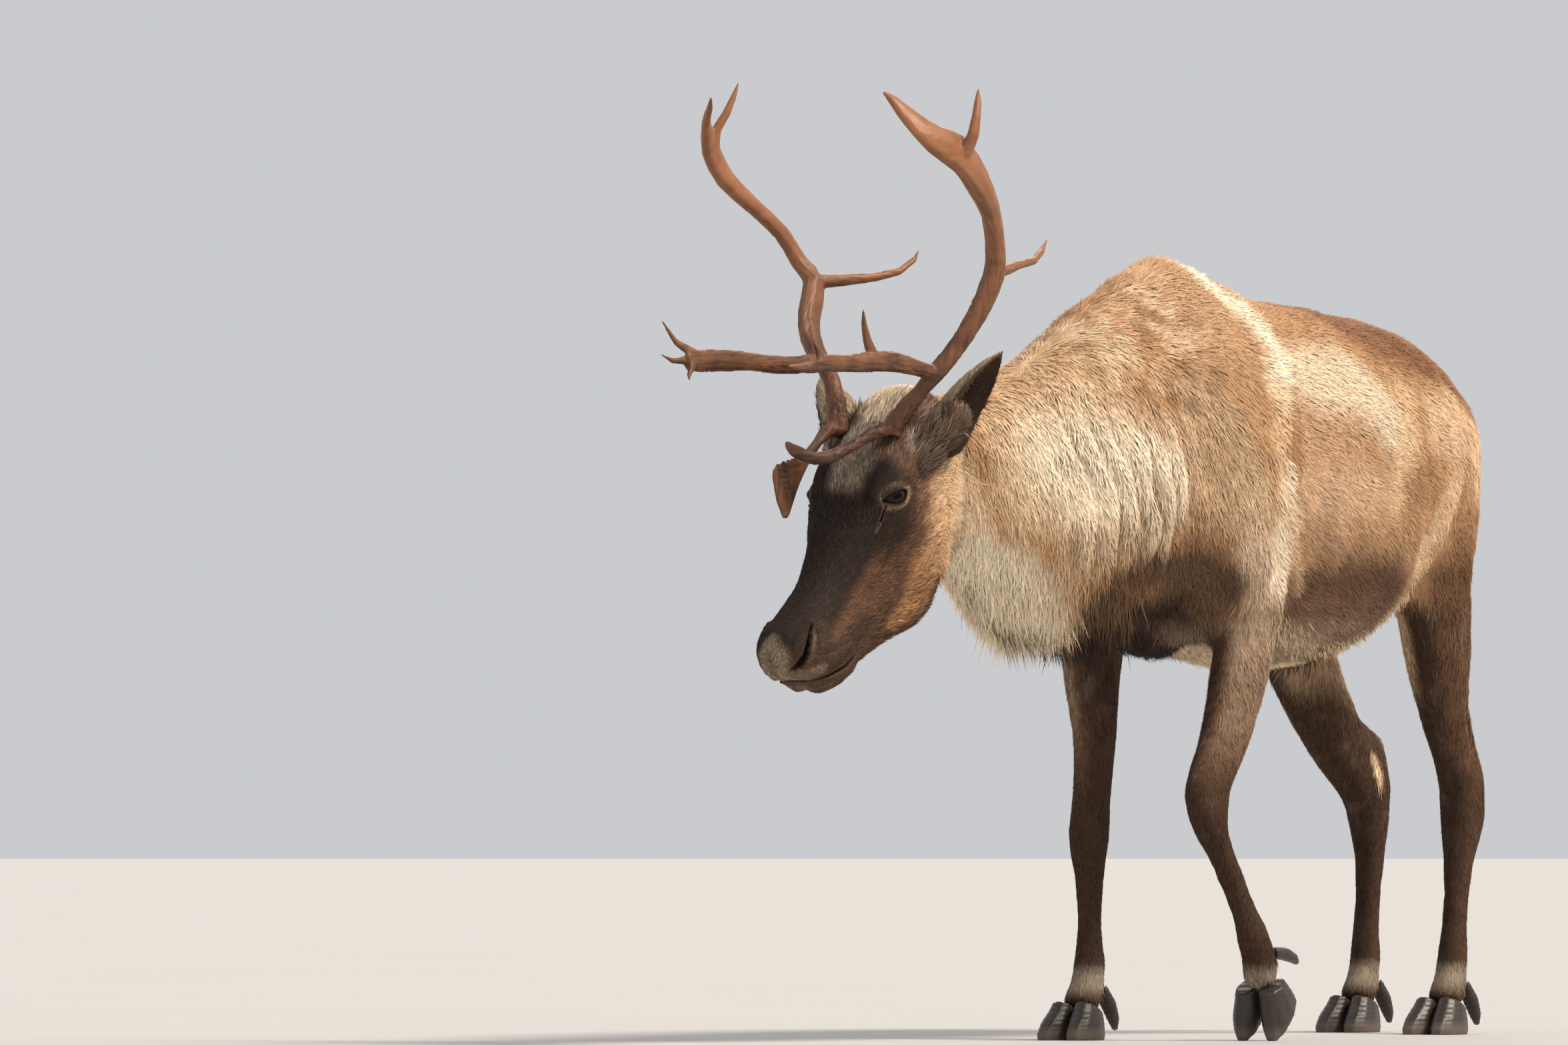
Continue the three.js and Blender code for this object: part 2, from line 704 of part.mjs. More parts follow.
// One lock of the mane, from a place along it and a turn from straight down. It bends back along the
// lie of the coat.
function maneLock(rows, place, turn, length) {
  const point = (share, out) => {
    const [x, y, z, width, , drop] = rows[Math.round(Math.min(share, 1) * (rows.length - 1))];
    return vec(x, y + Math.sin(turn) * width * out, z - Math.cos(turn) * drop * out);
  };
  const { root, bend, turnAt, sweep, shape } = LOCKS;
  const [start, tip] = [point(place, root), point(place + sweep, length)];
  const curve = new THREE.QuadraticBezierCurve3(start, point(place + turnAt * sweep, bend), tip);
  const flat = shape.map(([share, width, thick]) => [...curve.getPoint(share), width, thick, thick]);
  const lean = vec(0, Math.cos(turn), Math.sin(turn));
  return lofted(flat, { sides: 4, steps: 1, frame: leaning(lean) });
}

// The mane: a core under the throat, with locks set over it in staggered rows.
function maneSolids() {
  const core = MANE.map(([x, y, z, width, rise, drop]) => {
    return [x, y, z, width * MANE_CORE, rise, drop * MANE_CORE];
  });
  const rows = refined(MANE, LOCKS.steps);
  const random = (low, high) => low + (high - low) * THREE.MathUtils.seededRandom();
  THREE.MathUtils.seededRandom(LOCKS.seed);
  const locks = [];
  for (let i = 0; i < LOCKS.along; i++) {
    for (let k = 0; k < LOCKS.across; k++) {
      const stagger = (i % 2) * 0.5;
      const place = ((i + random(0.2, 0.8)) / LOCKS.along) * LOCKS.lastRoot;
      const turn = (2 * (k + stagger + random(0.25, 0.75))) / (LOCKS.across + 0.5) - 1;
      const length = random(LOCKS.shortest, LOCKS.longest);
      locks.push(maneLock(rows, place, turn * radians(LOCKS.spread), length));
    }
  }
  return [lofted(core, maneOptions), ...locks];
}

const sided = (rows, side) =>
  rows.map(([down, out, left, ...sizes]) => [down, out, -side * left, ...sizes]);

// The head with its lids, nostrils, scent glands and line of the mouth.
function headSolid(eyes) {
  const skull = lofted(HEAD, headOptions);
  const mouthRows = MOUTH.map((row) => [...row, MOUTH_DEPTH, MOUTH_GAPE, MOUTH_GAPE]);
  const wholeMouth = [...sided(mouthRows, LEFT), ...sided(mouthRows, RIGHT).reverse()];
  const lipFrame = (along) => [browAxis.clone().cross(along).normalize(), browAxis];
  const mouth = lofted(onHead(wholeMouth), { sides: SLIT_SIDES.mouth, frame: lipFrame });
  const slits = [LEFT, RIGHT].flatMap((side) => [
    lofted(onHead(sided(NOSTRIL, side)), { sides: SLIT_SIDES.nostril, steps: 1 }),
    lofted(onHead(sided(TEAR_SLIT, side)), { sides: SLIT_SIDES.tear, steps: 1 }),
  ]);
  const built = joined([skull, ...eyes.map((eye) => eye.hood)]);
  return largest(without(built, [mouth, ...slits, ...eyes.flatMap((eye) => eye.hollows)]));
}

const nodes = {};
const trunk = lofted(TRUNK, trunkOptions);
const trunkFit = lofted(TRUNK, { ...trunkOptions, grow: GAP });
const headFit = lofted(HEAD, { ...headOptions, grow: GAP });
const legs = Object.keys(LEG_ROWS).map((name) => legParts(name, trunkFit));
const legRoots = legs.map((leg) => leg.root);
const bodyShape = joined([trunk, ...legRoots, lofted(NECK, neckOptions), ...maneSolids()]);
const cutNormal = vec(...NECK_CUT.normal);
const cutPoint = vec(...NECK_CUT.at);
nodes.torso = largest(trimmed(bodyShape, cutNormal.clone().negate(), cutPoint));
nodes.neck = largest(without(trimmed(bodyShape, cutNormal, cutPoint), [headFit]));
nodes.tail = largest(without(lofted(TAIL, clawOptions), [trunkFit, ...legs.map((leg) => leg.rootFit)]));
legs.forEach((leg) => Object.assign(nodes, leg.parts));

const eyes = [LEFT, RIGHT].map(eyeParts);
nodes.head = headSolid(eyes);
nodes.eye_left = eyes[0].eye;
nodes.eye_right = eyes[1].eye;
nodes.ear_left = earSolid("left", LEFT, headFit);
nodes.ear_right = earSolid("right", RIGHT, headFit);
for (const [which, antler] of Object.entries(ANTLERS)) {
  Object.assign(nodes, antlerParts("antler_" + which, antler, headFit));
}

// Colour and roughness of each kind of surface
const FINISHES = {
  coat: [0x9a7a5c, 0.9],
  mane: [0xc4b094, 0.9],
  face: [0x4a382e, 0.9],
  ear: [0x5a4c42, 0.9],
  leg: [0x4e3c32, 0.9],
  antler: [0x9c6436, 0.55],
  hoof: [0x2e2925, 0.5],
  eye: [0x1c120d, 0.1],
};
function finishOf(name) {
  if (name.startsWith("antler")) return FINISHES.antler;
  if (name.startsWith("eye")) return FINISHES.eye;
  if (name.startsWith("ear")) return FINISHES.ear;
  if (name.includes("claw")) return FINISHES.hoof;
  if (name.includes("leg")) return FINISHES.leg;
  return { head: FINISHES.face, neck: FINISHES.mane }[name] || FINISHES.coat;
}

// A solid as a named mesh, which stands at its own middle within a group whose place is given.
function meshOf(name, solid, groupPlace) {
  const { vertProperties, triVerts } = solid.getMesh();
  const geometry = new THREE.BufferGeometry();
  geometry.setAttribute("position", new THREE.BufferAttribute(vertProperties, 3));
  geometry.setIndex(new THREE.BufferAttribute(triVerts, 1));
  geometry.computeBoundingBox();
  const centre = geometry.boundingBox.getCenter(vec(0, 0, 0)).round();
  geometry.translate(-centre.x, -centre.y, -centre.z);
  geometry.computeVertexNormals();
  const [color, roughness] = finishOf(name);
  const mesh = new THREE.Mesh(geometry, new THREE.MeshStandardMaterial({ color, roughness, metalness: 0 }));
  mesh.name = name;
  mesh.position.copy(centre).sub(groupPlace);
  return mesh;
}

// The group that a node stands in, and where that group stands under the animal's own
const GROUP_PLACES = {
  trunk: vec(0, 0, 0),
  head: vec(...BURR_CENTRE),
  ...Object.fromEntries(Object.entries(FEET).map(([name, { at }]) => [name, vec(...at, 0)])),
};
function groupOf(name) {
  const leg = Object.keys(LEG_ROWS).find((limb) => name.startsWith(limb));
  return leg || (["torso", "neck", "tail"].includes(name) ? "trunk" : "head");
}

const animal = new THREE.Group();
const groups = {};
for (const [name, place] of Object.entries(GROUP_PLACES)) {
  groups[name] = new THREE.Group();
  groups[name].position.copy(place);
  animal.add(groups[name]);
}
for (const [name, solid] of Object.entries(nodes)) {
  const group = groupOf(name);
  groups[group].add(meshOf(name, solid, GROUP_PLACES[group]));
}
const middle = new THREE.Box3().setFromObject(animal).getCenter(vec(0, 0, 0));
animal.position.set(-middle.x, -middle.y, 0);

const reindeer = new THREE.Group();
reindeer.add(animal);
export default reindeer;
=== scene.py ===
"""A reindeer bull as a museum's still model, life size: skin, coat, antlers, hooves and eyes over the solids.

Blender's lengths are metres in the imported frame: +Z is up, the animal faces -X and its left side is -Y. The
sizes of its forms are millimetres from the point on the ground under its withers, and Stance turns one into
the other.
"""

import sys

import logging
import math
from dataclasses import dataclass, field
from enum import Enum

import bmesh
import bpy
import numpy as np
from mathutils import Matrix, Vector
from mathutils.bvhtree import BVHTree


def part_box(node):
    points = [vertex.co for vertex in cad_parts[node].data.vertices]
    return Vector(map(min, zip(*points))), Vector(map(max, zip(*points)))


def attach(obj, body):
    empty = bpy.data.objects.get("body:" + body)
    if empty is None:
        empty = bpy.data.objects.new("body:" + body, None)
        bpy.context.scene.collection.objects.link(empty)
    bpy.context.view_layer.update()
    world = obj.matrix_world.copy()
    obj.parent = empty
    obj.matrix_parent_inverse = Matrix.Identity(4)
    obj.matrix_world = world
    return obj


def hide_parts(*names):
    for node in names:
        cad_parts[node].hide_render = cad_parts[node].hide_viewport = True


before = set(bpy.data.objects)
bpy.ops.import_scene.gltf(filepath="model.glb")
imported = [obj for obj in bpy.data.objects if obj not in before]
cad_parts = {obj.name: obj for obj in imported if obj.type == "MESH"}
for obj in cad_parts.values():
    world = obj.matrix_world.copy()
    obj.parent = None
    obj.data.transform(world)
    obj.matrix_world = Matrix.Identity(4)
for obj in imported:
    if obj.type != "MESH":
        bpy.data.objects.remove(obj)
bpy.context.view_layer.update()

log = logging.getLogger("reindeer")
Rows = list[tuple[float, ...]]
LEGS = ("foreleg_left", "foreleg_right", "hindleg_left", "hindleg_right")
LEG_NODES = [f"{leg}_{part}" for leg in LEGS for part in ("upper", "cannon", "pastern")]
SIDES = {"left": 1, "right": -1}
HEAD_PITCH = 52  # degrees that the face points down
HEAD_TURN = 12  # degrees that it turns to the animal's right
EYES_BELOW_BURR = 0.093  # metres down the face
EYES_BEHIND_BROW = 0.046
BURR_FROM_WITHERS = (-0.676, 0.105, 0.858)  # metres from the ground under them
PATCH_SIZE = 0.003  # of a tuft on the unwrap
PATCH_MARGIN = 0.0005


class Tone(Enum):
    """Colours of the animal, with the painted shade and light of its neck's ripples, as sRGB values from 0 to
    255.
    """

    IRIS = (54, 41, 34)
    EYEBALL = (32, 25, 22)
    PITCH = (14, 11, 10)
    COAT = (190, 148, 108)
    MOTTLE_DARK = (128, 92, 62)
    MOTTLE_PALE = (240, 212, 176)
    # Painted shade in the valleys of the neck's ripples, and painted light on their crests.
    FOLD_DEPTH = (128, 94, 66)
    FOLD_CREST = (252, 234, 206)
    BELLY = (226, 202, 170)
    GROIN = (222, 204, 178)
    SEAT = (238, 224, 202)
    LEG = (92, 66, 49)
    SHIN = (66, 46, 35)
    FOREARM = (148, 122, 100)
    ELBOW = (186, 158, 132)
    LEG_INSIDE = (74, 55, 44)
    FORE_CANNON = (66, 48, 37)
    HIND_FRONT = (52, 37, 28)
    LEG_REAR = (128, 96, 68)
    THIGH_INSIDE = (220, 186, 148)
    HOCK = (240, 212, 172)
    LEG_GRIZZLE = (150, 132, 114)
    PASTERN = (176, 160, 140)
    FACE = (92, 67, 51)
    BROW_PALE = (206, 194, 176)
    BROW_DARK = (64, 52, 44)
    EYE_RING = (166, 140, 112)
    TEAR_RIM = (160, 134, 108)
    LASH = (16, 12, 11)
    EAR_BACK = (112, 94, 78)
    EAR_TIP = (138, 120, 102)
    EAR_INSIDE = (66, 50, 38)
    EAR_RIM = (206, 182, 148)
    EAR_ROOT = (106, 88, 73)


def linear(colour: Tone | tuple[float, ...]) -> np.ndarray:
    """An sRGB colour from 0 to 255 as linear light from 0 to 1."""
    share = np.asarray(getattr(colour, "value", colour), float) / 255
    return np.where(share <= 0.04045, share / 12.92, ((share + 0.055) / 1.055) ** 2.4)


def ramp(low: float, high: float, values: np.ndarray) -> np.ndarray:
    """A smooth rise from 0 at low to 1 at high, or a fall where high is the smaller."""
    share = np.clip((values - low) / (high - low), 0, 1)
    return share * share * (3 - 2 * share)


def unit(vectors: np.ndarray) -> np.ndarray:
    """The vectors at length 1."""
    return vectors / np.maximum(np.linalg.norm(vectors, axis=-1, keepdims=True), 1e-9)


def bell(gaps: np.ndarray, width: float) -> np.ndarray:
    """1 where a gap is 0, falling smoothly away on both sides."""
    return np.exp(-((gaps / width) ** 2))


def rank(place: Vector) -> float:
    """A number that sorts places in a ball of radius 1 the same way each time."""
    x, y, z = (round(value * 10000) for value in place)
    return (z * 20001 + y) * 20001 + x


def refined(rows: Rows, steps: int) -> np.ndarray:
    """Rows of numbers with others set between them on smooth curves.

    Args:
        rows: the given rows.
        steps: how many rows each given one becomes.

    Returns:
        An array with a row for each step, through all the given ones.
    """
    given = np.asarray(rows, float)
    padded = np.vstack([given[:1], given, given[-1:]])
    out = []
    for a, b, c, d in zip(padded, padded[1:], padded[2:], padded[3:]):
        for t in np.arange(steps) / steps:
            bend = 2 * a - 5 * b + 4 * c - d
            out.append(b + 0.5 * t * (c - a + t * (bend + t * (3 * (b - c) + d - a))))
    return np.vstack([*out, given[-1:]])


def reach(points: np.ndarray, line: np.ndarray) -> tuple[np.ndarray, np.ndarray]:
    """How far points lie from a run of straight lines, in as many dimensions as both have.

    Args:
        points: one row for each point.
        line: one row for each corner of the run.

    Returns:
        Each point's distance, and where along the run it is nearest, from 0 to the number of lines.
    """
    nearest = np.full(len(points), np.inf)
    along = np.zeros(len(points))
    for i, (start, end) in enumerate(zip(line, line[1:])):
        run = end - start
        share = np.clip((points - start) @ run / max(run @ run, 1e-9), 0, 1)
        distance = np.linalg.norm(points - start - share[:, None] * run, axis=1)
        closer = distance < nearest
        nearest[closer] = distance[closer]
        along[closer] = i + share[closer]
    return nearest, along


def line_share(points: np.ndarray, line: np.ndarray, radii: np.ndarray) -> np.ndarray:
    """How far points lie from a run of lines, as a share of the run's radius there.

    Args:
        points: one row for each point.
        line: one row for each corner of the run.
        radii: the radius at each corner.

    Returns:
        Each point's distance over the radius where the run is nearest.
    """
    distance, along = reach(points, line)
    return distance / np.interp(along, np.arange(len(radii)), radii)


def flattened(ways: np.ndarray, normals: np.ndarray) -> np.ndarray:
    """The part of each direction that lies along the surface with that normal."""
    return ways - (ways * normals).sum(1)[:, None] * normals


def mirrored(places: np.ndarray) -> np.ndarray:
    """Places on the head, with those of its right side moved over to its left."""
    return np.column_stack([places[:, :2], np.abs(places[:, 2])])


def gap_to(spot: tuple, places: np.ndarray) -> np.ndarray:
    """How far places on the head lie from a spot, or from its mirror images."""
    return np.linalg.norm(np.abs(places) - np.abs(spot), axis=1)


def on_side(line: np.ndarray, side: int, on_head: bool) -> np.ndarray:
    """The left side's line of places on a side, which is 1 for the left and -1 for the right."""
    return line[:, :3] * ([1, 1, side] if on_head else [1, side, 1])


def read(items: bpy.types.bpy_prop_collection, key: str, width: int, kind: type = np.float32) -> np.ndarray:
    """A property of many elements of a mesh.

    Args:
        items: the elements, such as the vertices.
        key: the property.
        width: how many numbers it has.
        kind: their type.

    Returns:
        An array with a row for each element.
    """
    flat = np.empty(len(items) * width, kind)
    items.foreach_get(key, flat)
    return flat.reshape(-1, width)


def linked(name: str, data: bpy.types.ID) -> bpy.types.Object:
    """Puts a new object in the scene.

    Args:
        name: its name.
        data: its mesh, lamp or camera.

    Returns:
        The object, at the origin.
    """
    obj = bpy.data.objects.new(name, data)
    bpy.context.scene.collection.objects.link(obj)
    return obj


@dataclass(frozen=True)
class Stance:
    """Where the animal stands in the frame, and how its head is turned."""

    origin: np.ndarray
    burr: np.ndarray
    down: np.ndarray
    out: np.ndarray
    left: np.ndarray

    @classmethod
    def of_frame(cls) -> "Stance":
        """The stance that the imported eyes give.

        Returns:
            The stance, whose burr is the middle between the antlers' roots.
        """
        centres = [np.mean([np.array(corner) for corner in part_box(f"eye_{side}")], axis=0) for side in SIDES]
        pitch, turn = math.radians(HEAD_PITCH), math.radians(HEAD_TURN)
        heading = np.array([-math.cos(turn), math.sin(turn), 0])
        left = np.array([-math.sin(turn), -math.cos(turn), 0])
        down = heading * math.cos(pitch) - np.array([0, 0, math.sin(pitch)])
        out = np.cross(down, left)
        burr = np.mean(centres, axis=0) - down * EYES_BELOW_BURR + out * EYES_BEHIND_BROW
        return cls(burr - np.array(BURR_FROM_WITHERS), burr, down, out, left)

    @property
    def head_axes(self) -> np.ndarray:
        """Down the face, out of the brow, and out to the left, one in each row."""
        return np.array([self.down, self.out, self.left])

    def millimetres(self, points: np.ndarray) -> np.ndarray:
        """Points of the frame as millimetres from the ground under the withers."""
        return (points - self.origin) * 1000

    def metres(self, points: np.ndarray) -> np.ndarray:
        """Millimetres from the ground under the withers as points of the frame."""
        return points / 1000 + self.origin

    def on_head(self, points: np.ndarray) -> np.ndarray:
        """Millimetres from the withers as millimetres down the face, out of the brow and to the left."""
        return (points - (self.burr - self.origin) * 1000) @ self.head_axes.T

    def off_head(self, places: np.ndarray) -> np.ndarray:
        """Places on the head as millimetres from the withers."""
        return np.asarray(places, float) @ self.head_axes + (self.burr - self.origin) * 1000


@dataclass
class Shape:
    """A mesh that is being worked on, as arrays in millimetres from the withers."""

    stance: Stance
    mesh: bpy.types.Mesh

    @property
    def points(self) -> np.ndarray:
        """The places of the vertices."""
        return self.stance.millimetres(read(self.mesh.vertices, "co", 3).astype(float))

    @points.setter
    def points(self, places: np.ndarray) -> None:
        """Moves the vertices."""
        self.mesh.vertices.foreach_set("co", self.stance.metres(places).astype(np.float32).ravel())
        self.mesh.update()

    @property
    def normals(self) -> np.ndarray:
        """The smooth normals of the vertices."""
        return read(self.mesh.vertex_normals, "vector", 3).astype(float)

    @property
    def edges(self) -> np.ndarray:
        """The two vertices of each edge."""
        return read(self.mesh.edges, "vertices", 2, np.int32)

    def spread(self, values: np.ndarray, rounds: int, share: float | np.ndarray = 0.5) -> np.ndarray:
        """Evens values out over the surface.

        Args:
            values: one row for each vertex.
            rounds: how many times each vertex moves towards its neighbours' mean.
            share: how far it moves each time, the same for all or one for each vertex.

        Returns:
            The evened values.
        """
        a, b = self.edges.T
        size = len(self.mesh.vertices)
        count = np.maximum(np.bincount(a, minlength=size) + np.bincount(b, minlength=size), 1)
        out = np.array(values, float)
        columns = out.reshape(size, -1)
        for _ in range(rounds):
            for k in range(columns.shape[1]):
                column = columns[:, k]
                total = np.bincount(a, column[b], size) + np.bincount(b, column[a], size)
                columns[:, k] = column + share * (total / count - column)
        return out

    def relax(self, rounds: int, share: float | np.ndarray = 0.5, hold: float = 0.0) -> None:
        """Smooths the shape, and pushes it back out by the hold's share of each round.

        Args:
            rounds: how often.
            share: how far each vertex moves, the same for all or one for each.
            hold: the share of that which is taken back.
        """
        for _ in range(rounds):
            places = self.spread(self.points, 1, share)
            self.points = self.spread(places, 1, -hold * share) if hold else places

    def islands(self) -> np.ndarray:
        """The number of the island that each vertex is in, which is its lowest vertex's.

        Returns:
            A number for each vertex.
        """
        a, b = self.edges.T
        label = np.arange(len(self.mesh.vertices))
        while True:
            low = label.copy()
            np.minimum.at(low, a, label[b])
            np.minimum.at(low, b, label[a])
            low = low[low]
            if np.array_equal(low, label):
                return label
            label = low


class Bench:
    """The mesh work that every piece shares."""

    def __init__(self, stance: Stance) -> None:
        """Keeps where the animal stands."""
        self.stance = stance

    def merged(self, nodes: list[str]) -> bmesh.types.BMesh:
        """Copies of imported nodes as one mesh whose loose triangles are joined.

        Args:
            nodes: their names.

        Returns:
            The mesh, in the frame's metres.
        """
        bm = bmesh.new()
        for node in nodes:
            bm.from_mesh(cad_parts[node].data)
        bmesh.ops.remove_doubles(bm, verts=bm.verts[:], dist=1e-5)
        return bm

    def loft(self, bm: bmesh.types.BMesh, rows: np.ndarray, sides: int,
             axes: np.ndarray | None = None) -> None:
        """Adds a closed loft through oval rings.

        Args:
            bm: the mesh that it is added to.
            rows: each ring's middle, half width, rise, drop, and how full its upper and lower halves are.
            sides: how many corners a ring has.
            axes: every ring's sideways and upward direction. Rings stand upright where there are none.
        """
        before = None
        centres = rows[:, :3]
        for i, row in enumerate(rows):
            along = unit(centres[min(i + 1, len(rows) - 1)] - centres[max(i - 1, 0)])
            side, up = axes if axes is not None else (unit(np.cross([0, 0, 1], along)), np.array([0, 0, 1.0]))
            ring = bmesh.ops.create_circle(bm, cap_ends=False, radius=1, segments=sides)["verts"]
            for vert in ring:
                c, s = vert.co.x, vert.co.y
                fullness = row[6] if s > 0 else row[7]
                across = row[3] * math.copysign(abs(c) ** fullness, c)
                height = (row[4] if s > 0 else row[5]) * math.copysign(abs(s) ** fullness, s)
                vert.co = Vector(self.stance.metres(row[:3] + side * across + up * height))
            edges = list(dict.fromkeys(edge for vert in ring for edge in vert.link_edges))
            if before is None or i == len(rows) - 1:
                bmesh.ops.edgeloop_fill(bm, edges=edges)
            if before is not None:
                bmesh.ops.bridge_loops(bm, edges=before + edges)
            before = edges

    def ball(self, bm: bmesh.types.BMesh, centre: np.ndarray, radius: float) -> None:
        """Adds a ball at a place in millimetres from the withers."""
        place = Matrix.Translation(Vector(self.stance.metres(centre)))
        bmesh.ops.create_icosphere(bm, subdivisions=4, radius=radius / 1000, matrix=place)

    def piece(self, name: str, bm: bmesh.types.BMesh) -> bpy.types.Object:
        """A finished bmesh as a smooth object at the origin.

        Args:
            name: its name.
            bm: the bmesh, which is freed.

        Returns:
            The object.
        """
        mesh = bpy.data.meshes.new(name)
        bmesh.ops.recalc_face_normals(bm, faces=bm.faces[:])
        bm.to_mesh(mesh)
        bm.free()
        mesh.polygons.foreach_set("use_smooth", [True] * len(mesh.polygons))
        return linked(name, mesh)

    def remeshed(self, obj: bpy.types.Object, grain: float) -> bpy.types.Object:
        """The piece as one even skin over all that it holds.

        Args:
            obj: the piece, whose closed shapes may lie in one another.
            grain: the side of the new faces in millimetres.

        Returns:
            The same piece with its largest closed surface alone.
        """
        modifier = obj.modifiers.new("even", "REMESH")
        modifier.mode = "VOXEL"
        modifier.voxel_size = grain / 1000
        modifier.use_smooth_shade = True
        mesh = bpy.data.meshes.new_from_object(obj.evaluated_get(bpy.context.evaluated_depsgraph_get()))
        obj.modifiers.clear()
        old, obj.data = obj.data, mesh
        bpy.data.meshes.remove(old)
        mesh.name = obj.name
        label = Shape(self.stance, mesh).islands()
        loose = label != np.bincount(label).argmax()
        if loose.any():
            bm = bmesh.new()
            bm.from_mesh(mesh)
            bm.verts.ensure_lookup_table()
            bmesh.ops.delete(bm, geom=[bm.verts[i] for i in np.nonzero(loose)[0]], context="VERTS")
            bm.to_mesh(mesh)
            bm.free()
        return obj

    def evened(self, name: str, nodes: list[str], grain: float) -> bpy.types.Object:
        """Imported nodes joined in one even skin, whose faces are grain millimetres wide."""
        return self.remeshed(self.piece(name, self.merged(nodes)), grain)

    def nearness(self, points: np.ndarray, tree: BVHTree, near: float, far: float) -> np.ndarray:
        """1 where a point lies within near of a surface, falling to 0 at far, in millimetres.

        Args:
            points: millimetres from the withers.
            tree: the surface.
            near: where the fall starts.
            far: where it ends.

        Returns:
            A share for each point.
        """
        places = self.stance.metres(points)
        gaps = np.array([tree.find_nearest(Vector(place), far / 1000)[3] or np.inf for place in places])
        return ramp(far, near, np.minimum(gaps * 1000, far))


class Number:
    """A number in a material. Python's operators on it add Math nodes."""

    def __init__(self, paint: "Paint", socket: bpy.types.NodeSocket) -> None:
        """Wraps an output socket of a node."""
        self.paint = paint
        self.socket = socket

    def math(self, operation: str, *values: "Number | float") -> "Number":
        """A Math node on the given values."""
        node = self.paint.node("ShaderNodeMath", {"operation": operation}, dict(enumerate(values)))
        return Number(self.paint, node.outputs[0])

    def __add__(self, other: "Number | float") -> "Number":
        """The sum."""
        return self.math("ADD", self, other)

    def __sub__(self, other: "Number | float") -> "Number":
        """The difference."""
        return self.math("SUBTRACT", self, other)

    def __rsub__(self, other: "Number | float") -> "Number":
        """The difference from a plain number."""
        return self.math("SUBTRACT", other, self)

    def __mul__(self, other: "Number | float") -> "Number":
        """The product."""
        return self.math("MULTIPLY", self, other)

    __radd__ = __add__
    __rmul__ = __mul__


class Paint:
    """A material in the making, with the shader that all of them end in."""

    def __init__(self, name: str, **constants: float) -> None:
        """Starts a material.

        Args:
            name: its name.
            constants: values of the shader's sockets that are the same all over, by name with _ for a space.
        """
        self.material = bpy.data.materials.new(name)
        self.material.use_nodes = True
        self.tree = self.material.node_tree
        self.shader = next(node for node in self.tree.nodes if node.type == "BSDF_PRINCIPLED")
        for socket, value in constants.items():
            self.shader.inputs[socket.replace("_", " ").title().replace("Ior", "IOR")].default_value = value

    def node(self, kind: str, settings: dict | None = None, values: dict | None = None) -> bpy.types.Node:
        """Adds a node.

        Args:
            kind: its type.
            settings: its own settings, set first.
            values: numbers, colours or links for its sockets, by name or number.

        Returns:
            The node.
        """
        node = self.tree.nodes.new(kind)
        for setting, value in (settings or {}).items():
            setattr(node, setting, value)
        for socket, value in (values or {}).items():
            if isinstance(value, Number):
                value = value.socket
            if isinstance(value, bpy.types.NodeSocket):
                self.tree.links.new(value, node.inputs[socket])
            else:
                node.inputs[socket].default_value = value
        return node

    def attribute(self, name: str) -> bpy.types.Node:
        """The node of an attribute of the mesh."""
        return self.node("ShaderNodeAttribute", {"attribute_name": name})

    def place(self) -> bpy.types.NodeSocket:
        """Object coordinates."""
        return self.node("ShaderNodeTexCoord").outputs["Object"]

    def noise(self, size: float, detail: float = 3, stretch: tuple = (1, 1, 1),
              turn: tuple = (0, 0, 0)) -> Number:
        """Noise whose forms are about size millimetres across.

        Args:
            size: the size of its largest forms.
            detail: how many finer layers it has.
            stretch: how much longer they are along each axis.
            turn: how the axes are turned, in degrees.

        Returns:
            A number about 0.5.
        """
        scale = tuple(1 / s for s in stretch)
        spin = tuple(math.radians(t) for t in turn)
        values = {"Vector": self.place(), "Rotation": spin}
        turned = self.node("ShaderNodeMapping", {"vector_type": "TEXTURE"}, values)
        drawn = self.node("ShaderNodeMapping", None, {"Vector": turned.outputs[0], "Scale": scale})
        values = {"Vector": drawn.outputs[0], "Scale": 1000 / size, "Detail": detail}
        return Number(self, self.node("ShaderNodeTexNoise", None, values).outputs[0])

    def mixed(self, share: Number | float, one: object, other: object,
              blend: str = "MIX") -> bpy.types.NodeSocket:
        """Two colours mixed by a share of the other."""
        settings = {"data_type": "RGBA", "blend_type": blend}
        return self.node("ShaderNodeMix", settings, {0: share, 6: one, 7: other}).outputs[2]

    def between(self, share: Number, one: tuple, other: tuple) -> bpy.types.NodeSocket:
        """Two sRGB colours mixed by a share of the other."""
        return self.mixed(share, (*linear(one), 1), (*linear(other), 1))

    def shaded(self, attribute: str, share: Number, dark: tuple, light: tuple) -> bpy.types.NodeSocket:
        """An attribute's colour, darker and lighter by a share of the light.

        Args:
            attribute: its name.
            share: the share of the light, from 0 to 1.
            dark: what the colour is multiplied by at 0.
            light: what it is multiplied by at 1.

        Returns:
            The colour's socket.
        """
        shade = self.mixed(share, (*dark, 1), (*light, 1))
        return self.mixed(1.0, self.attribute(attribute).outputs["Color"], shade, "MULTIPLY")

    def finish(self, colour: object, rough: Number | None, relief: Number | None,
               height: float) -> bpy.types.Material:
        """Links the shader.

        Args:
            colour: the socket of the base colour.
            rough: roughness, where it varies.
            relief: the height of the surface from 0 to 1.
            height: how many millimetres 1 stands for.

        Returns:
            The finished material.
        """
        self.tree.links.new(colour, self.shader.inputs["Base Color"])
        if rough is not None:
            self.tree.links.new(rough.socket, self.shader.inputs["Roughness"])
        if relief is not None:
            bump = self.node("ShaderNodeBump", None, {"Height": relief, "Distance": height / 1000})
            self.tree.links.new(bump.outputs[0], self.shader.inputs["Normal"])
        return self.material


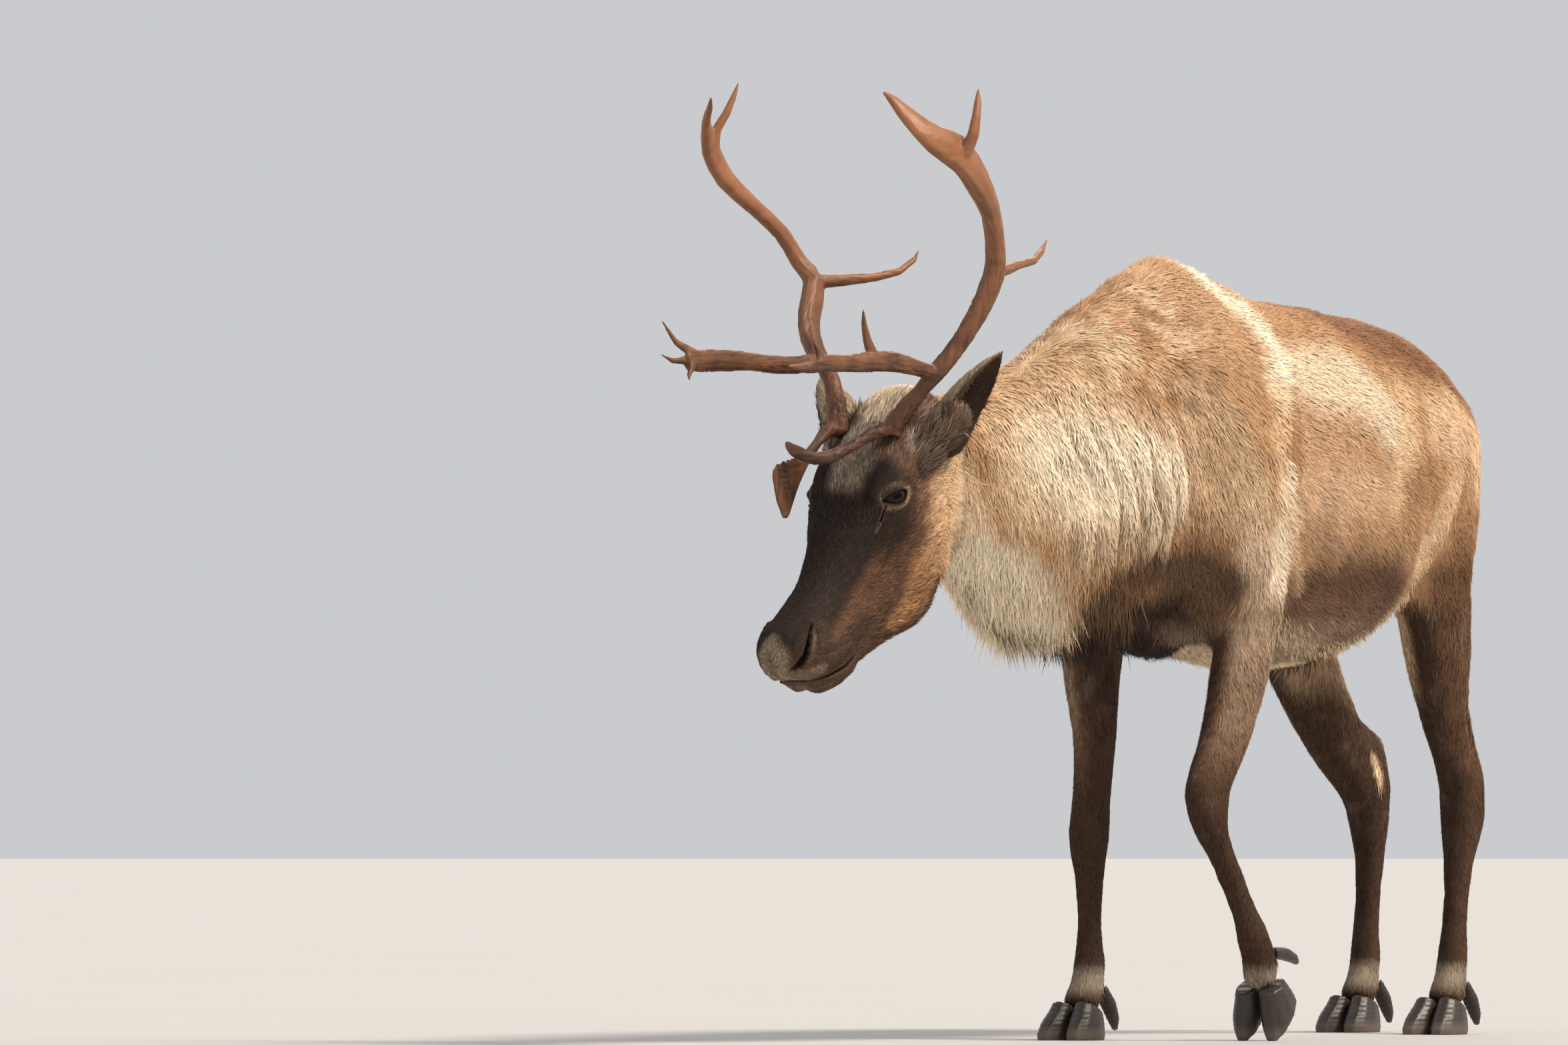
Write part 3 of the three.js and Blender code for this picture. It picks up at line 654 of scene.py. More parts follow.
@dataclass(frozen=True)
class HideFinish:
    """Short hair lying flat on the skin, in the colours of the markings."""

    roughness: float = 0.85
    stroke: float = 2.2
    relief: float = 0.5
    dark: tuple = (0.78, 0.78, 0.78)
    light: tuple = (1.16, 1.16, 1.16)

    def material(self) -> bpy.types.Material:
        """The skin's material.

        Returns:
            The material.
        """
        paint = Paint("hide", roughness=self.roughness, specular_ior_level=0.15)
        strokes = paint.noise(self.stroke, 2, (6, 1, 3), (0, 28, 0))
        colour = paint.shaded("coat", strokes, self.dark, self.light)
        return paint.finish(colour, None, strokes, self.relief)


@dataclass(frozen=True)
class HairFinish:
    """Tufts and locks of hair."""

    roughness: float = 0.7
    relief: float = 0.15
    dark: tuple = (0.55, 0.53, 0.51)
    light: tuple = (1.45, 1.46, 1.47)

    def material(self) -> bpy.types.Material:
        """The coat's material.

        Returns:
            The material.
        """
        paint = Paint("hair", roughness=self.roughness, specular_ior_level=0.2)
        strand = paint.attribute("strand").outputs["Vector"]
        values = {"Vector": strand, "Scale": 1.0, "Detail": 1.0}
        streak = Number(paint, paint.node("ShaderNodeTexNoise", None, values).outputs[0])
        colour = paint.shaded("coat", streak, self.dark, self.light)
        return paint.finish(colour, None, streak, self.relief)


@dataclass(frozen=True)
class AntlerFinish:
    """Bare antler: warm tan, browner in its grooves and at its base, paler at its tips, with painted shade on
    its undersides.
    """

    pale: tuple = (172, 114, 74)
    deep: tuple = (54, 32, 21)

    def material(self) -> bpy.types.Material:
        """The antlers' material.

        Returns:
            The material.
        """
        paint = Paint("antler", specular_ior_level=0.4)
        grain = Number(paint, paint.attribute("grain").outputs["Fac"])
        # The second attribute is darker at the base, the antler's own stain, and on the undersides, painted
        # shade.
        stain = Number(paint, paint.attribute("stain").outputs["Fac"])
        cloud = paint.noise(38, 3)
        share = stain * 0.55 + grain * 0.3 + cloud * 0.7 - 0.22
        colour = paint.between(share, self.pale, self.deep)
        speckle = paint.noise(1.6, 2)
        relief = speckle * 0.4 + (1 - grain) * 0.6
        return paint.finish(colour, 0.42 + share * 0.14, relief, 0.35)


@dataclass(frozen=True)
class HornFinish:
    """Hoof horn: near black, ringed and scuffed grey at its lower edge."""

    base: tuple = (40, 35, 32)
    worn: tuple = (108, 96, 84)

    def material(self) -> bpy.types.Material:
        """The hooves' material.

        Returns:
            The material.
        """
        paint = Paint("horn", specular_ior_level=0.4)
        wear = Number(paint, paint.attribute("wear").outputs["Fac"])
        grain = paint.noise(3, 3, (1, 1, 7))
        colour = paint.between(wear * 0.7 + grain * 0.3, self.base, self.worn)
        return paint.finish(colour, 0.38 + wear * 0.3, grain, 0.4)


@dataclass(frozen=True)
class EyeFinish:
    """A wet eye: dark brown iris round a wide dark pupil."""

    roughness: float = 0.1
    film_roughness: float = 0.03
    dark: tuple = (0.7, 0.7, 0.7)
    light: tuple = (1.3, 1.3, 1.3)

    def material(self) -> bpy.types.Material:
        """The eyes' material.

        Returns:
            The material.
        """
        paint = Paint("eye", roughness=self.roughness, specular_ior_level=0.1,
                      coat_roughness=self.film_roughness)
        fibre = paint.noise(1.2, 3)
        colour = paint.shaded("iris", fibre, self.dark, self.light)
        return paint.finish(colour, None, None, 0)


def dress(obj: bpy.types.Object, material: bpy.types.Material, slot: str, *nodes: str) -> None:
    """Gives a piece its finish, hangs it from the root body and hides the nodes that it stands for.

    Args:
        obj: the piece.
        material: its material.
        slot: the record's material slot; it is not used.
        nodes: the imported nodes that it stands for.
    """
    obj.data.materials.clear()
    obj.data.materials.append(material)
    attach(obj, "root")
    if nodes:
        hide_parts(*nodes)
    log.info("%s: %d faces for %s", obj.name, len(obj.data.polygons), ", ".join(nodes) or "the coat")


def write_attribute(mesh: bpy.types.Mesh, name: str, values: np.ndarray) -> None:
    """Stores a number, or a linear colour, for each vertex.

    Args:
        mesh: the mesh.
        name: the attribute's name.
        values: one number or one colour for each vertex.
    """
    if values.ndim == 1:
        layer = mesh.attributes.new(name, "FLOAT", "POINT")
        layer.data.foreach_set("value", values.astype(np.float32))
        return
    layer = mesh.color_attributes.new(name, "FLOAT_COLOR", "POINT")
    rgba = np.ones((len(values), 4), np.float32)
    rgba[:, :3] = values
    layer.data.foreach_set("color", rgba.ravel())


@dataclass
class Camera:
    """The photo's view: from far off, a little above the ground, ahead of the animal's left shoulder."""

    place: tuple = (-17904.5, -8927.6, 300)
    bearing: tuple = (0.8829, 0.4695)
    pitch: float = 1.2432
    lens: float = 323.88
    sensor: float = 36

    def build(self, stance: Stance) -> None:
        """Makes the camera and sets the scene to use it.

        Args:
            stance: where the animal stands.
        """
        data = bpy.data.cameras.new("camera")
        data.lens = self.lens
        data.sensor_width = self.sensor
        data.clip_end = 400
        obj = linked("camera", data)
        obj.location = Vector(stance.metres(np.array(self.place)))
        level = Vector((*self.bearing, 0)).normalized()
        pitch = math.radians(self.pitch)
        ahead = level * math.cos(pitch) + Vector((0, 0, math.sin(pitch)))
        obj.rotation_euler = ahead.to_track_quat("-Z", "Y").to_euler()
        bpy.context.scene.camera = obj


@dataclass(frozen=True)
class Lamp:
    """A far soft lamp, which lights all of the floor alike, spread degrees wide."""

    name: str
    place: tuple
    spread: float
    power: float
    colour: tuple


@dataclass
class Studio:
    """A plain pale floor under soft light."""

    lamps: tuple = (
        Lamp("key", (0.5, -5.5, 7.5), 14, 3.5, (255, 241, 224)),
        Lamp("rim", (7, 3, 6), 20, 0.9, (255, 236, 214)),
    )
    lit_height: float = 0.8
    floor_radius: float = 120
    sky: tuple = (222, 224, 227)
    floor: tuple = (186, 186, 186)
    sky_strength: float = 0.8

    def build(self) -> None:
        """Makes the floor, the lights and the even light from all round."""
        self.lay_floor()
        for lamp in self.lamps:
            self.hang(lamp)
        world = bpy.data.worlds.new("studio")
        world.use_nodes = True
        background = world.node_tree.nodes["Background"]
        background.inputs[0].default_value = (*linear(self.sky), 1)
        background.inputs[1].default_value = self.sky_strength
        bpy.context.scene.world = world
        bpy.context.scene.view_settings.view_transform = "Standard"

    def lay_floor(self) -> None:
        """A round floor, large enough for every view."""
        bm = bmesh.new()
        bmesh.ops.create_circle(bm, cap_ends=True, radius=self.floor_radius, segments=96)
        mesh = bpy.data.meshes.new("floor")
        bm.to_mesh(mesh)
        bm.free()
        obj = linked("floor", mesh)
        paint = Paint("floor", specular_ior_level=0.2, roughness=0.9)
        cloud = paint.noise(900, 2)
        tone = linear(self.floor)
        colour = paint.mixed(cloud, (*tone * 0.98, 1), (*np.minimum(tone * 1.02, 1), 1))
        mesh.materials.append(paint.finish(colour, None, None, 0))

    def hang(self, lamp: Lamp) -> None:
        """Makes a lamp that points at the animal.

        Args:
            lamp: its place, width, strength and colour.
        """
        light = bpy.data.lights.new(lamp.name, "SUN")
        light.energy = lamp.power
        light.angle = math.radians(lamp.spread)
        light.color = linear(lamp.colour)
        obj = linked(lamp.name, light)
        obj.location = lamp.place
        ahead = Vector((0, 0, self.lit_height)) - Vector(lamp.place)
        obj.rotation_euler = ahead.to_track_quat("-Z", "Y").to_euler()


# Neck: middle, half width, rise, drop, how full its upper and its lower half are
NECK: Rows = [
    (60, 0, 850, 120, 200, 200, 1, 1),
    (-40, 0, 840, 152, 255, 270, 1.25, 1),
    (-130, 4, 820, 152, 256, 255, 1.3, 1),
    (-210, 14, 795, 145, 248, 225, 1.25, 1.05),
    (-290, 28, 775, 134, 220, 190, 1.15, 1.1),
    (-370, 44, 765, 121, 184, 165, 1.05, 1.1),
    (-450, 62, 778, 104, 147, 150, 1, 1.05),
    (-520, 78, 805, 84, 104, 125, 1, 1),
    (-575, 90, 830, 58, 66, 82, 1, 1),
]
# Mane under the throat out to its tips: middle, half width, rise, drop
MANE: Rows = [
    (-506, 78, 702, 34, 40, 70, 1, 1),
    (-470, 70, 665, 62, 60, 88, 1, 1),
    (-420, 60, 645, 76, 60, 110, 1, 1),
    (-365, 47, 632, 82, 60, 120, 1, 1),
    (-300, 32, 640, 82, 60, 112, 1, 1),
    (-235, 20, 650, 78, 60, 100, 1, 1),
    (-175, 10, 660, 62, 60, 88, 1, 1),
]
# Head: down the face, out of the brow line, half width, rise, drop, how full its upper and lower halves are
HEAD: Rows = [
    (-95, -75, 40, 42, 50, 1, 1),
    (-78, -72, 60, 58, 75, 0.9, 1),
    (-40, -68, 74, 65, 100, 0.85, 1),
    (0, -62, 79, 61, 138, 0.8, 1),
    (50, -58, 82, 56, 168, 0.8, 1),
    (93, -57, 80, 48, 184, 0.8, 1),
    (130, -62, 72, 45, 190, 0.85, 1),
    (165, -70, 62, 47, 175, 0.9, 1),
    (205, -78, 54, 50, 140, 0.95, 1),
    (245, -84, 49, 52, 113, 0.95, 1),
    (285, -86, 48, 55, 92, 0.9, 1),
    (322, -85, 50, 59, 78, 0.85, 0.95),
    (350, -82, 48, 61, 63, 0.85, 0.95),
    (370, -76, 41, 50, 48, 0.9, 1),
    (384, -67, 29, 35, 31, 1, 1),
    (392, -60, 16, 20, 16, 1, 1),
    (396, -57, 6, 8, 6, 1, 1),
]
EYE_PLACE = (93, -46, 61.5)  # down the face, out of the brow line, out from the middle
EYE_RADIUS = 19
TEAR_PLACE = (134, -44, 66)


@dataclass
class Assembly:
    """A part of the animal, made with the mesh work that all of them share."""

    bench: Bench

    @property
    def stance(self) -> Stance:
        """Where the animal stands."""
        return self.bench.stance


@dataclass
class Eyes(Assembly):
    """Two dark wet eyes, each a ball with a bulging cornea."""

    radius: float = EYE_RADIUS
    bulge: float = 0.035
    look: tuple = (0.2, 0.3, 0.93)
    line: tuple = (0.84, 0.53)
    iris: float = 0.66
    pupil: tuple = (0.44, 0.2)

    def axes(self, side: int) -> np.ndarray:
        """An eye's directions from its rear to its front corner, across that, and outwards.

        Args:
            side: 1 for the left eye, -1 for the right.

        Returns:
            One direction in each row.
        """
        stance, (down, out, left) = self.stance, self.look
        outward = unit(down * stance.down + out * stance.out + left * side * stance.left)
        long = self.line[0] * stance.down + self.line[1] * stance.out
        long = unit(long - long @ outward * outward)
        return np.array([long, np.cross(outward, long) * side, outward])

    def centre(self, side: int) -> np.ndarray:
        """An eye's middle, in millimetres from the withers."""
        down, out, left = EYE_PLACE
        return self.stance.off_head(np.array([down, out, left * side]))

    def build(self) -> None:
        """Makes both eyes."""
        material = EyeFinish().material()
        for name, side in SIDES.items():
            self.ball(name, side, material)

    def ball(self, name: str, side: int, material: bpy.types.Material) -> None:
        """Makes one eye, coloured by how far each point turns from the way that it looks.

        Args:
            name: left or right.
            side: 1 or -1.
            material: its material.
        """
        bm = bmesh.new()
        bmesh.ops.create_uvsphere(bm, u_segments=48, v_segments=40, radius=1)
        bm.verts.sort(key=lambda vert: rank(vert.co))
        bm.faces.sort(key=lambda face: rank(face.calc_center_median()))
        axes = self.axes(side)
        local = np.array([vert.co[:] for vert in bm.verts])
        bulge = 1 + self.bulge * ramp(0.62, 0.95, local[:, 2])
        placed = self.stance.metres(self.centre(side) + (local * self.radius * bulge[:, None]) @ axes)
        for vert, place in zip(bm.verts, placed):
            vert.co = Vector(place)
        obj = self.bench.piece(f"eyeball_{name}", bm)
        write_attribute(obj.data, "iris", self.colours(local))
        dress(obj, material, "eye", f"eye_{name}")

    def colours(self, local: np.ndarray) -> np.ndarray:
        """The white's, iris's and pupil's colours at points of a ball of radius 1 that looks along its own z.

        Args:
            local: the points.

        Returns:
            A linear colour for each.
        """
        radial = np.hypot(local[:, 0], local[:, 1])
        radial[local[:, 2] < 0] = 1
        oval = np.hypot(local[:, 0] / self.pupil[0], local[:, 1] / self.pupil[1])
        iris = linear(Tone.IRIS) * 0.75
        ball = linear(Tone.EYEBALL) * 0.9
        out = iris + ramp(self.iris, self.iris + 0.1, radial)[:, None] * (ball - iris)
        return out + ramp(1.15, 0.9, oval)[:, None] * (linear(Tone.PITCH) * 0.4 - out)


@dataclass
class Feet(Assembly):
    """Cloven hooves and dewclaws, with growth rings."""

    grain: float = 2.2
    smoothing: int = 6
    ring: float = 7.0
    ring_depth: float = 0.2
    sole: float = 3.5
    settling: float = 0.8
    worn_height: float = 26

    def build(self) -> None:
        """Makes one piece of horn for each foot."""
        material = HornFinish().material()
        for leg in LEGS:
            self.foot(leg, material)

    def foot(self, leg: str, material: bpy.types.Material) -> None:
        """Makes the four claws of a foot, each smooth, as one piece.

        Args:
            leg: the leg's name.
            material: the horn's material.
        """
        nodes = [f"{leg}_{kind}_{side}" for kind in ("claw", "dewclaw") for side in ("outer", "inner")]
        whole = bmesh.new()
        for node in nodes:
            claw = self.bench.evened(node + "_horn", [node], self.grain)
            shape = Shape(self.stance, claw.data)
            shape.relax(self.smoothing)
            places = shape.points
            rings = np.sin(places[:, 2] * 2 * math.pi / self.ring) * self.ring_depth
            places += shape.normals * (rings * ramp(3, 9, places[:, 2]))[:, None]
            settled = np.maximum(places[:, 2] - self.settling, 0.0)
            places[:, 2] = np.where(places[:, 2] < self.sole, settled, places[:, 2])
            shape.points = places
            whole.from_mesh(claw.data)
            bpy.data.objects.remove(claw)
        foot = self.bench.piece(f"hooves_{leg}", whole)
        height = Shape(self.stance, foot.data).points[:, 2]
        write_attribute(foot.data, "wear", ramp(self.worn_height, 2, height))
        dress(foot, material, "hoof", *nodes)


@dataclass
class Antlers(Assembly):
    """Two antlers, each one smooth piece with its grooves and the pearls of its burr."""

    grain: float = 2.2
    smoothing: int = 9
    hold: float = 0.9
    groove: float = 0.55
    pearl: float = 1.5
    root_gap: float = 50
    streak_rounds: int = 40
    seed: int = 11
    parts: tuple = ("base", "beam", "crown", "brow_tine", "bez_tine", "rear_tine", "top_tine")

    def build(self) -> None:
        """Makes both antlers."""
        material = AntlerFinish().material()
        for name, side in SIDES.items():
            self.antler(name, side, material)

    def antler(self, name: str, side: int, material: bpy.types.Material) -> None:
        """Makes one antler: joined, evened, smoothed and grooved along its length.

        Args:
            name: left or right.
            side: 1 or -1.
            material: its material.
        """
        nodes = [f"antler_{name}_{part}" for part in self.parts]
        obj = self.bench.evened(f"antler_{name}", nodes, self.grain)
        shape = Shape(self.stance, obj.data)
        shape.relax(self.smoothing, hold=self.hold)
        grain = self.streaks(shape)
        head = self.stance.on_head(shape.points)
        low = np.linalg.norm(head - np.array([0, 0, side * self.root_gap]), axis=1)
        # Darker near the base, the antler's own stain; darker on the undersides, painted shade; and darker
        # where the antler reaches forward down the face.
        stain = ramp(430, 90, low) * 0.8 + ramp(0.1, -0.9, shape.normals[:, 2]) * 0.35
        stain += 0.45 * ramp(20, 110, head[:, 0])
        pearls = np.random.default_rng(self.seed).random(len(grain))
        pearls = shape.spread(pearls, 2) - 0.5
        burr = ramp(60, 34, low)
        grain = 0.5 + (grain - 0.5) * (0.25 + 0.75 * ramp(520, 260, low))
        relief = (grain - 0.5) * self.groove * 2 + pearls * self.pearl * 3 * burr + burr * 1.5
        shape.points = shape.points + shape.normals * relief[:, None]
        shape.relax(2, share=0.5 * ramp(200, 400, low))
        write_attribute(obj.data, "grain", 1 - grain)
        write_attribute(obj.data, "stain", np.clip(stain, 0, 1))
        dress(obj, material, "antler", *nodes)

    def streaks(self, shape: Shape) -> np.ndarray:
        """Random values drawn out along the antler's own direction, from 0 to 1.

        Args:
            shape: the antler.

        Returns:
            A value for each vertex.
        """
        n = shape.normals
        tensor = np.stack([n[:, i] * n[:, j] for i in range(3) for j in range(3)], axis=1)
        tensor = shape.spread(tensor, self.streak_rounds, 0.6).reshape(-1, 3, 3)
        axis = np.linalg.eigh(tensor)[1][:, :, 0]
        a, b = shape.edges.T
        places = shape.points
        run = unit(places[a] - places[b])
        pull = np.abs((run * axis[a]).sum(1)) ** 8
        size = len(places)
        total = np.bincount(a, pull, size) + np.bincount(b, pull, size) + 0.05
        values = np.random.default_rng(self.seed).standard_normal(size)
        for _ in range(self.streak_rounds):
            gathered = np.bincount(a, pull * values[b], size) + np.bincount(b, pull * values[a], size)
            values = (gathered + 0.05 * values) / total
        values = (values - values.mean()) / values.std()
        return np.clip(0.5 + 0.22 * values, 0, 1)


class Cloud:
    """Smooth seeded noise in space, from -1 to 1."""

    def __init__(self, seed: int) -> None:
        """Draws the noise's lattice."""
        self.lattice = np.random.default_rng(seed).uniform(-1, 1, (32, 32, 32))

    def at(self, places: np.ndarray, size: float | tuple) -> np.ndarray:
        """The noise at places in millimetres, with forms of the given size.

        Args:
            places: one in each row.
            size: the forms' size, one for all axes or one for each.

        Returns:
            A value for each place.
        """
        scaled = places / np.asarray(size, float)
        low = np.floor(scaled).astype(int)
        share = scaled - low
        share = share * share * (3 - 2 * share)
        total = np.zeros(len(places))
        for corner in np.ndindex(2, 2, 2):
            pick = (low + corner) % 32
            weight = np.prod(np.where(corner, share, 1 - share), axis=1)
            total += weight * self.lattice[tuple(pick.T)]
        return total

    def layered(self, places: np.ndarray, size: float, layers: int = 3) -> np.ndarray:
        """The noise with finer layers added, each half as large."""
        total = sum(self.at(places + 917 * i, size / 2**i) / 2**i for i in range(layers))
        return total / sum(0.5**i for i in range(layers)) * 1.4


@dataclass(frozen=True)
class Crease:
    """A furrow or a swelling of the skin, on both sides of the animal.

    Its line holds places and the radius there. On the head they are down the face, out of the brow line and
    out from the middle. On the body they are millimetres from the withers, on the left side.
    """

    name: str
    line: tuple
    height: float
    edge: float = 2.0
    rim: float = 0.0


HEAD_CREASES = (
    Crease("zygoma", ((60, -84, 82, 18), (110, -80, 74, 20), (165, -86, 58, 16)), 3.0),
    Crease("masseter", ((75, -150, 62, 40), (130, -168, 52, 42)), 4.0),
    Crease("temple", ((28, -52, 82, 20), (48, -62, 84, 18)), -3.0),
    Crease("brow", ((58, -24, 66, 20), (88, -14, 62, 20), (112, -22, 54, 16)), 4.5),
    Crease("cheek_hollow", ((175, -112, 56, 30), (225, -112, 48, 26)), -3.0),
    Crease("nasal_side", ((180, -48, 46, 20), (260, -48, 42, 22)), -2.0),
    Crease("upper_lip", ((300, -118, 50, 15), (345, -98, 46, 16), (370, -86, 30, 14)), 3.0),
    Crease("lower_lip", ((306, -150, 36, 11), (345, -132, 36, 13), (368, -114, 22, 13), (376, -106, 0, 13)),
           3.0),
    Crease("nostril_wing", ((322, -34, 46, 12), (346, -34, 44, 14), (366, -44, 34, 12)), 2.5),
    Crease("nostril", ((321, -39, 42, 2.2), (334, -46, 38, 3.2), (348, -53, 34, 4.6), (360, -61, 28, 6.2),
                       (368, -64, 20, 6.4), (371, -62, 13, 3.6)), -12.0, 0.8, 2.4),
    Crease("nostril_fold", ((318, -40, 50, 3.5), (336, -58, 52, 4), (352, -70, 46, 4)), -1.5),
    Crease("chin", ((296, -156, 0, 26), (322, -150, 0, 30), (346, -138, 0, 24)), 3.6),
    Crease("mouth", ((278, -147, 36, 2.6), (293, -145, 38, 3.0), (318, -136, 42, 3.2), (346, -119, 42, 3.2),
                     (370, -101, 34, 3.2), (384, -88, 20, 3.2), (390, -80, 8, 3), (391, -79, 0, 2.8)),
           -5, 1, 0.8),
    Crease("philtrum", ((372, -52, 0, 3), (390, -70, 0, 3)), -1.5),
    Crease("lip_fold", ((286, -118, 46, 5), (322, -96, 48, 6), (344, -80, 46, 5)), -1.6),
    Crease("tear", ((113, -38, 71, 2.6), (124, -40, 69, 3.2), (137, -46, 66, 4.2), (152, -50, 62, 3.2)),
           -7.0, 1.0, 1.4),
)
BODY_CREASES = (
    Crease("shoulder", ((20, -150, 985, 60), (-10, -170, 880, 62), (-40, -170, 790, 60)), 5.0),
    Crease("behind_shoulder", ((150, -170, 900, 60), (125, -185, 800, 62), (150, -180, 700, 56)), -8.0),
    Crease("point_of_shoulder", ((-110, -130, 745, 50), (-95, -130, 715, 46)), 7.0),
    Crease("shoulder_front", ((-165, -140, 900, 40), (-170, -140, 800, 44), (-175, -120, 720, 38)), -5.0),
    Crease("elbow", ((70, -155, 640, 40), (78, -150, 610, 36)), 7.0),
    Crease("ribs_hollow", ((300, -225, 800, 90), (400, -225, 740, 80)), -3.0),
    Crease("flank_hollow", ((500, -205, 830, 84), (520, -205, 760, 80), (500, -190, 700, 62)), -8.0),
    Crease("flank_fold", ((590, -190, 700, 30), (540, -185, 650, 30), (480, -170, 605, 30)), 6.0),
    Crease("hip", ((560, -120, 1010, 60), (600, -140, 985, 56)), 6.0),
    Crease("thigh", ((690, -185, 800, 80), (680, -180, 700, 70)), 5.0),
    Crease("seat", ((830, -100, 880, 50), (815, -120, 800, 50)), 5.0),
    Crease("hock_hollow_left", ((745, -138, 480, 14), (790, -124, 420, 12)), -4.5),
    Crease("hock_hollow_right", ((772, -138, 480, 16), (830, -124, 420, 14)), -5.0),
    Crease("brisket_keel", ((-190, 0, 610, 44), (-100, 0, 590, 46), (0, 0, 570, 44)), 8.0),
)


@dataclass(frozen=True)
class Patch:
    """A marking of the coat along a line, whose places end in the marking's radius there; a few are painted
    shade.

    A place of two numbers before the radius stands on the animal's side view: back from the withers and up.
    One of three on the head is down the face, out of the brow line and out from the middle, on either side.
    """

    tone: tuple
    line: tuple
    strength: float = 1.0
    core: float = 0.35

    def share(self, places: np.ndarray) -> np.ndarray:
        """How strongly the marking covers each place.

        Args:
            places: of two numbers or of three, as the marking's own are.

        Returns:
            A share for each place.
        """
        line = np.array([point[:-1] for point in self.line], float)
        radii = np.array([point[-1] for point in self.line], float)
        if len(line) == 1:
            line, radii = np.vstack([line, line + 0.01]), np.repeat(radii, 2)
        return ramp(1, self.core, line_share(places, line, radii)) * self.strength


TRUNK_TONES = (
    Patch((196, 156, 120), ((-160, 1010, 110), (40, 1060, 110))),
    Patch((188, 144, 104), ((-230, 990, 90), (-170, 930, 90)), 0.8),
    Patch((214, 176, 136), ((-420, 900, 70), (-260, 985, 80)), 0.9),
    Patch((255, 236, 206), ((-430, 815, 110), (-340, 810, 160), (-225, 805, 112)), 0.95, 0.15),
    Patch((252, 222, 184), ((-580, 800, 44), (-552, 745, 50), (-512, 700, 44)), 0.9, 0.1),
    Patch((232, 200, 162), ((-500, 860, 50), (-490, 800, 56), (-450, 740, 50)), 0.5, 0.0),
    Patch((206, 174, 136), ((-370, 700, 40), (-310, 698, 46), (-230, 716, 46)), 0.5),
    Patch((174, 142, 110), ((-265, 720, 60), (-232, 770, 60)), 0.6, 0.1),
    Patch((246, 228, 198), ((-510, 690, 36), (-450, 640, 62), (-400, 615, 80), (-345, 595, 66)), 0.95, 0.35),
    Patch((255, 238, 208), ((-520, 694, 30), (-480, 690, 34), (-440, 676, 32)), 0.75, 0.1),
    # Painted shade in the crease of the throat behind the cheek.
    Patch((100, 78, 56), ((-498, 648, 22), (-484, 624, 30), (-466, 596, 30)), 0.9, 0.1),
    Patch((196, 166, 132), ((-110, 900, 80), (-70, 800, 100)), 0.8),
    Patch((226, 198, 162), ((-20, 760, 70), (0, 700, 60)), 0.5),
    # The chest's own dark brown, darkened further as painted shade under the neck and between the forelegs.
    Patch((96, 72, 54), ((-288, 636, 44), (-205, 674, 60), (-110, 672, 78), (-30, 650, 62)), 0.95, 0.1),
    Patch((44, 31, 24), ((-262, 592, 50), (-110, 588, 80), (-20, 565, 64)), 1.0, 0.4),
    Patch((204, 176, 150), ((-20, 710, 50), (20, 670, 50), (52, 600, 44)), 0.85),
    Patch((254, 232, 204), ((62, 810, 30), (60, 755, 40), (56, 700, 46), (64, 640, 36)), 0.9, 0.1),
    Patch((204, 164, 130), ((180, 860, 110), (200, 780, 110)), 0.8),
    Patch((218, 182, 148), ((110, 770, 60), (250, 790, 66), (330, 780, 66)), 0.7, 0.1),
    Patch((244, 220, 190), ((150, 945, 62), (270, 940, 78), (350, 885, 72)), 0.9, 0.3),
    Patch((232, 196, 154), ((425, 925, 44), (385, 851, 44), (345, 785, 40)), 0.75),
    Patch((176, 130, 97), ((110, 1085, 40), (300, 1070, 70), (380, 1040, 90)), 0.9, 0.4),
    Patch((134, 94, 68), ((330, 1085, 60), (450, 1045, 114), (620, 1020, 110), (760, 970, 84)), 0.95, 0.42),
    Patch((228, 192, 156), ((520, 885, 66), (640, 890, 76), (740, 830, 76)), 0.85),
    Patch((236, 214, 184), ((850, 930, 60), (880, 830, 66), (860, 760, 50)), 0.8),
    Patch((166, 124, 90), ((390, 800, 46), (520, 800, 46)), 0.6),
    Patch((172, 136, 106), ((130, 690, 56), (240, 694, 74), (400, 685, 80)), 0.6, 0.1),
    Patch((104, 76, 56), ((140, 652, 46), (250, 655, 64), (370, 660, 62), (420, 640, 40)), 0.95, 0.15),
    Patch((124, 94, 71), ((130, 606, 50), (300, 600, 60), (420, 612, 48)), 0.9, 0.3),
    Patch((238, 202, 164), ((600, 806, 56), (556, 752, 62), (494, 684, 50)), 0.85, 0.0),
    Patch((226, 200, 164), ((60, 560, 20), (150, 572, 18), (300, 560, 20), (440, 585, 20)), 0.85),
    Patch((150, 108, 78), ((680, 730, 62), (750, 740, 80)), 0.7),
    Patch((102, 72, 50), ((625, 660, 74), (730, 665, 90)), 0.95, 0.25),
    Patch((255, 236, 206), ((40, 1085, 42), (104, 1040, 46), (114, 975, 44), (80, 925, 34)), 0.95, 0.1),
    Patch((230, 194, 155), ((80, 925, 30), (48, 850, 24), (50, 776, 22), (80, 720, 20), (134, 650, 14)),
          0.7, 0.1),
    # A painted shadow line where the shoulder meets the flank.
    Patch((112, 80, 56), ((140, 955, 16), (100, 915, 20), (88, 844, 20), (102, 776, 16), (122, 715, 14)),
          0.28, 0.0),
    Patch((160, 124, 92), ((-285, 985, 46), (-235, 1020, 50)), 0.6, 0.1),
    Patch((160, 124, 94), ((-130, 1020, 40), (-70, 1012, 40)), 0.5, 0.1),
)
